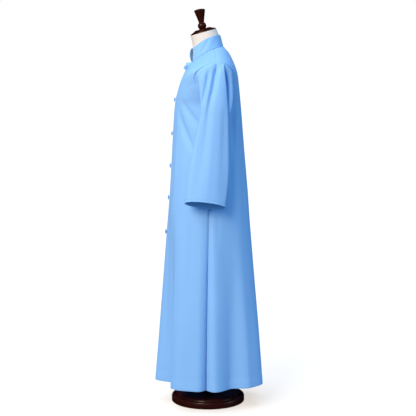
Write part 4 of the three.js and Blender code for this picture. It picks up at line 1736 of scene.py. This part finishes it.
@dataclass
class TurnedStand:
    """The wooden neck cap, finial and base, the pole and the board under the torso."""

    wood: bpy.types.Material
    steel: bpy.types.Material
    cap_tilt: float = 15.8
    cap_centre: Triple = (0, -19.2, 1522.2)
    cap_profile: tuple[tuple[float, float], ...] = (
        (0, 0), (52.8, 0), (53.6, 1.2), (53, 3), (44, 6.2), (35, 10.4), (30.5, 12.8), (28, 13),
        (19, 9), (14.6, 5), (0, 5),
    )
    finial_tilt: float = 9.3
    finial_centre: Triple = (0, -21.0, 1528.8)
    finial_profile: tuple[tuple[float, float], ...] = (
        (0, 0), (13.6, 0), (12.6, 3), (13, 6.4), (16, 12), (17.3, 18.5), (16, 25), (12.6, 29.6), (10, 31.6),
        (11, 34), (12, 38), (15.2, 52), (18.4, 64), (22, 78.4), (22.4, 81), (21.2, 83), (12, 85.8), (0, 86.8),
    )
    base_profile: tuple[tuple[float, float], ...] = (
        (0, 0), (148.5, 0), (151, 2.5), (151, 21), (149, 26), (144.5, 28.3), (137, 27.2), (132.6, 24.8),
        (131.4, 29), (128.6, 33), (123, 35.8), (90, 41), (52, 48), (34, 54), (30, 60), (30, 70), (27, 73),
        (0, 73),
    )
    pole_radius: float = 15.0
    pole_low: float = 73.3
    pole_high: float = 736.4
    pole_rim: float = 0.5
    board_radius: float = 92.0
    board_low: float = 736.7
    board_high: float = 744.7
    board_rim: float = 1.0
    edge_round: float = 0.35
    edge_turn: float = 40.0

    def turned(
        self, name: str, profile: Array, node: str, material: bpy.types.Material, slot: str,
        tilt: float = 0.0, centre: Triple = (0, 0, 0), segments: int = 128,
    ) -> bpy.types.Object:
        """A turned piece, tilted forward or back and put in its place.

        Args:
            name: The piece's name.
            profile: Radius and height pairs.
            node: The node that it stands for.
            material: Its material.
            slot: The record's material slot.
            tilt: Degrees about X.
            centre: Where its foot goes.
            segments: Steps round the axis.

        Returns:
            The piece.
        """
        piece = lathe_object(name, profile, segments)
        place(piece, Matrix.Translation(Vector(centre)) @ Matrix.Rotation(math.radians(tilt), 4, "X"))
        soften_rims(piece, self.edge_round, self.edge_turn)
        return dress(piece, material, slot, node)

    def build(self) -> list[bpy.types.Object]:
        """Builds and dresses the stand's pieces.

        Returns:
            The pieces, from the top down.
        """
        cap = rounded_profile(self.cap_profile, (1, 3, 7, 9))
        finial = rounded_profile(self.finial_profile, (1, 8, 15))
        base = rounded_profile(self.base_profile, (1, 2, 3, 7, 15, 16))
        tube = cylinder_profile(self.pole_radius, self.pole_low, self.pole_high, self.pole_rim)
        board = cylinder_profile(self.board_radius, self.board_low, self.board_high, self.board_rim)
        return [
            self.turned("turned_finial", finial, "finial", self.wood, "turned_wood",
                        self.finial_tilt, self.finial_centre, 64),
            self.turned("turned_neck_cap", cap, "neck_cap", self.wood, "turned_wood",
                        self.cap_tilt, self.cap_centre),
            self.turned("torso_board", board, "form_plate", self.wood, "turned_wood"),
            self.turned("steel_tube", tube, "stand_pole", self.steel, "steel_pole", segments=64),
            self.turned("turned_base", base, "stand_base", self.wood, "turned_wood", segments=160),
        ]


# ------------------------------------------------------------------ studio


@dataclass
class Studio:
    """The white room, its lights and the camera, in metres."""

    eye: Triple = (5.1, 0.0, 1.45)
    pitch_down: float = 7.182
    lens: float = 108.44
    sensor: float = 36.0
    far: float = 200.0
    room: float = 40.0
    backdrop_steps: int = 64
    backdrop_share: float = 0.98  # of the room's half width
    key_strength: float = 1.98
    key_colour: Triple = (1.0, 0.88, 0.69)
    key_from: Triple = (0.78, -0.38, 0.56)
    key_softness: float = 22.0
    fill_colour: Triple = (0.27, 0.62, 1.0)
    fill_below: float = 0.04
    fill_level: float = 0.56
    fill_above: float = 1.15
    rim_from: Triple = (0.3, 0.93, 0.2)
    rim_strength: float = 0.3
    rim_colour: Triple = (0.9, 0.95, 1.0)
    floor_from: Triple = (0.1, -0.25, 1.0)
    floor_strength: float = 3.2
    floor_softness: float = 70.0
    box_strength: float = 20.0
    box_size: tuple[float, float] = (0.6, 1.0)
    box_at: Triple = (1.3, -1.3, 2.3)
    box_from: Triple = (1.15, -1.2, 1.05)

    def camera(self) -> None:
        """Sets the camera up, level sideways and looking a little down."""
        data = bpy.data.cameras.new("studio camera")
        data.lens = self.lens
        data.sensor_width = self.sensor
        data.clip_end = self.far
        camera = bpy.data.objects.new("studio camera", data)
        camera.location = self.eye
        camera.rotation_euler = (math.radians(90 - self.pitch_down), 0, math.radians(90))
        bpy.context.scene.collection.objects.link(camera)
        bpy.context.scene.camera = camera

    def floor(self) -> None:
        """Lays the white floor and hangs the bright backdrop round it."""
        r = self.room
        corners = np.array([[-r, -r, 0], [r, -r, 0], [r, r, 0], [-r, r, 0]]) / MM
        paper = make_object("studio_floor", corners, [[0, 1, 2, 3]])
        paper.data.materials.append(StudioPaper().material())
        paper.visible_diffuse = paper.visible_glossy = False
        self.floor_light(paper)
        turn = np.radians(turns_round(self.backdrop_steps))
        ring = np.stack([np.cos(turn), np.sin(turn), 0 * turn], axis=-1) * r * self.backdrop_share
        wall = np.concatenate([ring - [0, 0, 1], ring + [0, 0, r]]) / MM
        inward = tube_faces(2, self.backdrop_steps)[:, [1, 0, 3, 2]]
        backdrop = make_object("studio_backdrop", wall, inward.tolist())
        glow = bpy.data.materials.new("bright backdrop")
        glow.use_nodes = True
        tree = glow.node_tree
        tree.nodes.clear()
        emission = tree.nodes.new("ShaderNodeEmission")
        emission.inputs["Strength"].default_value = 1.0
        output = tree.nodes.new("ShaderNodeOutputMaterial")
        tree.links.new(emission.outputs[0], output.inputs[0])
        backdrop.data.materials.append(glow)
        backdrop.visible_diffuse = backdrop.visible_glossy = backdrop.visible_shadow = False

    def floor_light(self, paper: bpy.types.Object) -> None:
        """Lights the floor alone with a wide white light from above, which keeps its shadows grey.

        Args:
            paper: The floor.
        """
        lamp = self.lamp("floor light", "SUN", self.floor_strength, WHITE, self.floor_from)
        lamp.data.angle = math.radians(self.floor_softness)
        lit = bpy.data.collections.new("lit by the floor light")
        lit.objects.link(paper)
        lamp.light_linking.receiver_collection = lit

    @staticmethod
    def lamp(name: str, kind: str, strength: float, colour: Triple, source: Triple) -> bpy.types.Object:
        """Adds a light.

        Args:
            name: Its name.
            kind: SUN or AREA.
            strength: Its strength.
            colour: Its colour.
            source: The way towards it.

        Returns:
            The light.
        """
        light = bpy.data.lights.new(name, kind)
        light.energy = strength
        light.color = colour
        lamp = bpy.data.objects.new(name, light)
        lamp.rotation_euler = Vector(source).to_track_quat("Z", "Y").to_euler()
        bpy.context.scene.collection.objects.link(lamp)
        return lamp

    def lights(self) -> None:
        """Sets the soft key and rim lights and a soft box near the chest."""
        key = self.lamp("key light", "SUN", self.key_strength, self.key_colour, self.key_from)
        rim = self.lamp("rim light", "SUN", self.rim_strength, self.rim_colour, self.rim_from)
        key.data.angle = rim.data.angle = math.radians(self.key_softness)
        box = self.lamp("soft box", "AREA", self.box_strength, self.key_colour, self.box_from)
        box.location = self.box_at
        box.data.shape = "RECTANGLE"
        box.data.size, box.data.size_y = self.box_size

    def fill(self) -> None:
        """Fills the room with even light that grows from the floor to the ceiling."""
        world = bpy.data.worlds.new("even fill")
        world.use_nodes = True
        tree = world.node_tree
        place = tree.nodes.new("ShaderNodeTexCoord")
        height = tree.nodes.new("ShaderNodeSeparateXYZ")
        rise = tree.nodes.new("ShaderNodeMapRange")
        rise.inputs["From Min"].default_value = -1.0
        ramp = tree.nodes.new("ShaderNodeValToRGB")
        levels = (self.fill_below, self.fill_level, self.fill_above)
        while len(ramp.color_ramp.elements) < len(levels):
            ramp.color_ramp.elements.new(0.5)
        for element, at, level in zip(ramp.color_ramp.elements, (0.0, 0.5, 1.0), levels):
            element.position = at
            element.color = (*(c * level for c in self.fill_colour), 1.0)
        tree.links.new(place.outputs["Generated"], height.inputs[0])
        tree.links.new(height.outputs["Z"], rise.inputs["Value"])
        tree.links.new(rise.outputs["Result"], ramp.inputs[0])
        tree.links.new(ramp.outputs[0], tree.nodes["Background"].inputs["Color"])
        world.cycles_visibility.glossy = False
        bpy.context.scene.world = world

    def build(self) -> None:
        """Builds the whole studio."""
        self.camera()
        self.floor()
        self.lights()
        self.fill()
        bpy.context.scene.view_settings.view_transform = "Standard"


# ------------------------------------------------------------------ the whole


@dataclass(frozen=True)
class Cut:
    """The flat cut of a piece of cloth in metres, and its area in square metres."""

    width: float
    length: float
    area: float


def main() -> None:
    """Loads the frame and builds everything in order."""
    logging.basicConfig(level=logging.INFO, format="%(name)s: %(message)s")
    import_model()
    Studio().build()

    surface = CassockSurface()
    cloth = CASSOCK_CLOTH.material()
    wood = VarnishedWood().material()
    panels = Panels(surface, cloth)
    made = panels.build()
    made["collar"] = Collar(surface, cloth).build()
    sleeve = Sleeve(surface, cloth)
    made["sleeve_left"] = sleeve.build(Side.LEFT)
    made["sleeve_right"] = sleeve.build(Side.RIGHT)
    CoveredButtons(surface, BUTTON_CLOTH.material()).build()
    DressForm(surface, FORM_LINEN.material()).build()
    TurnedStand(wood, SatinSteel().material()).build()

    stitches = Sewing(surface, panels, sleeve, SEWING_THREAD.material()).build()


if __name__ == "__main__":
    main()
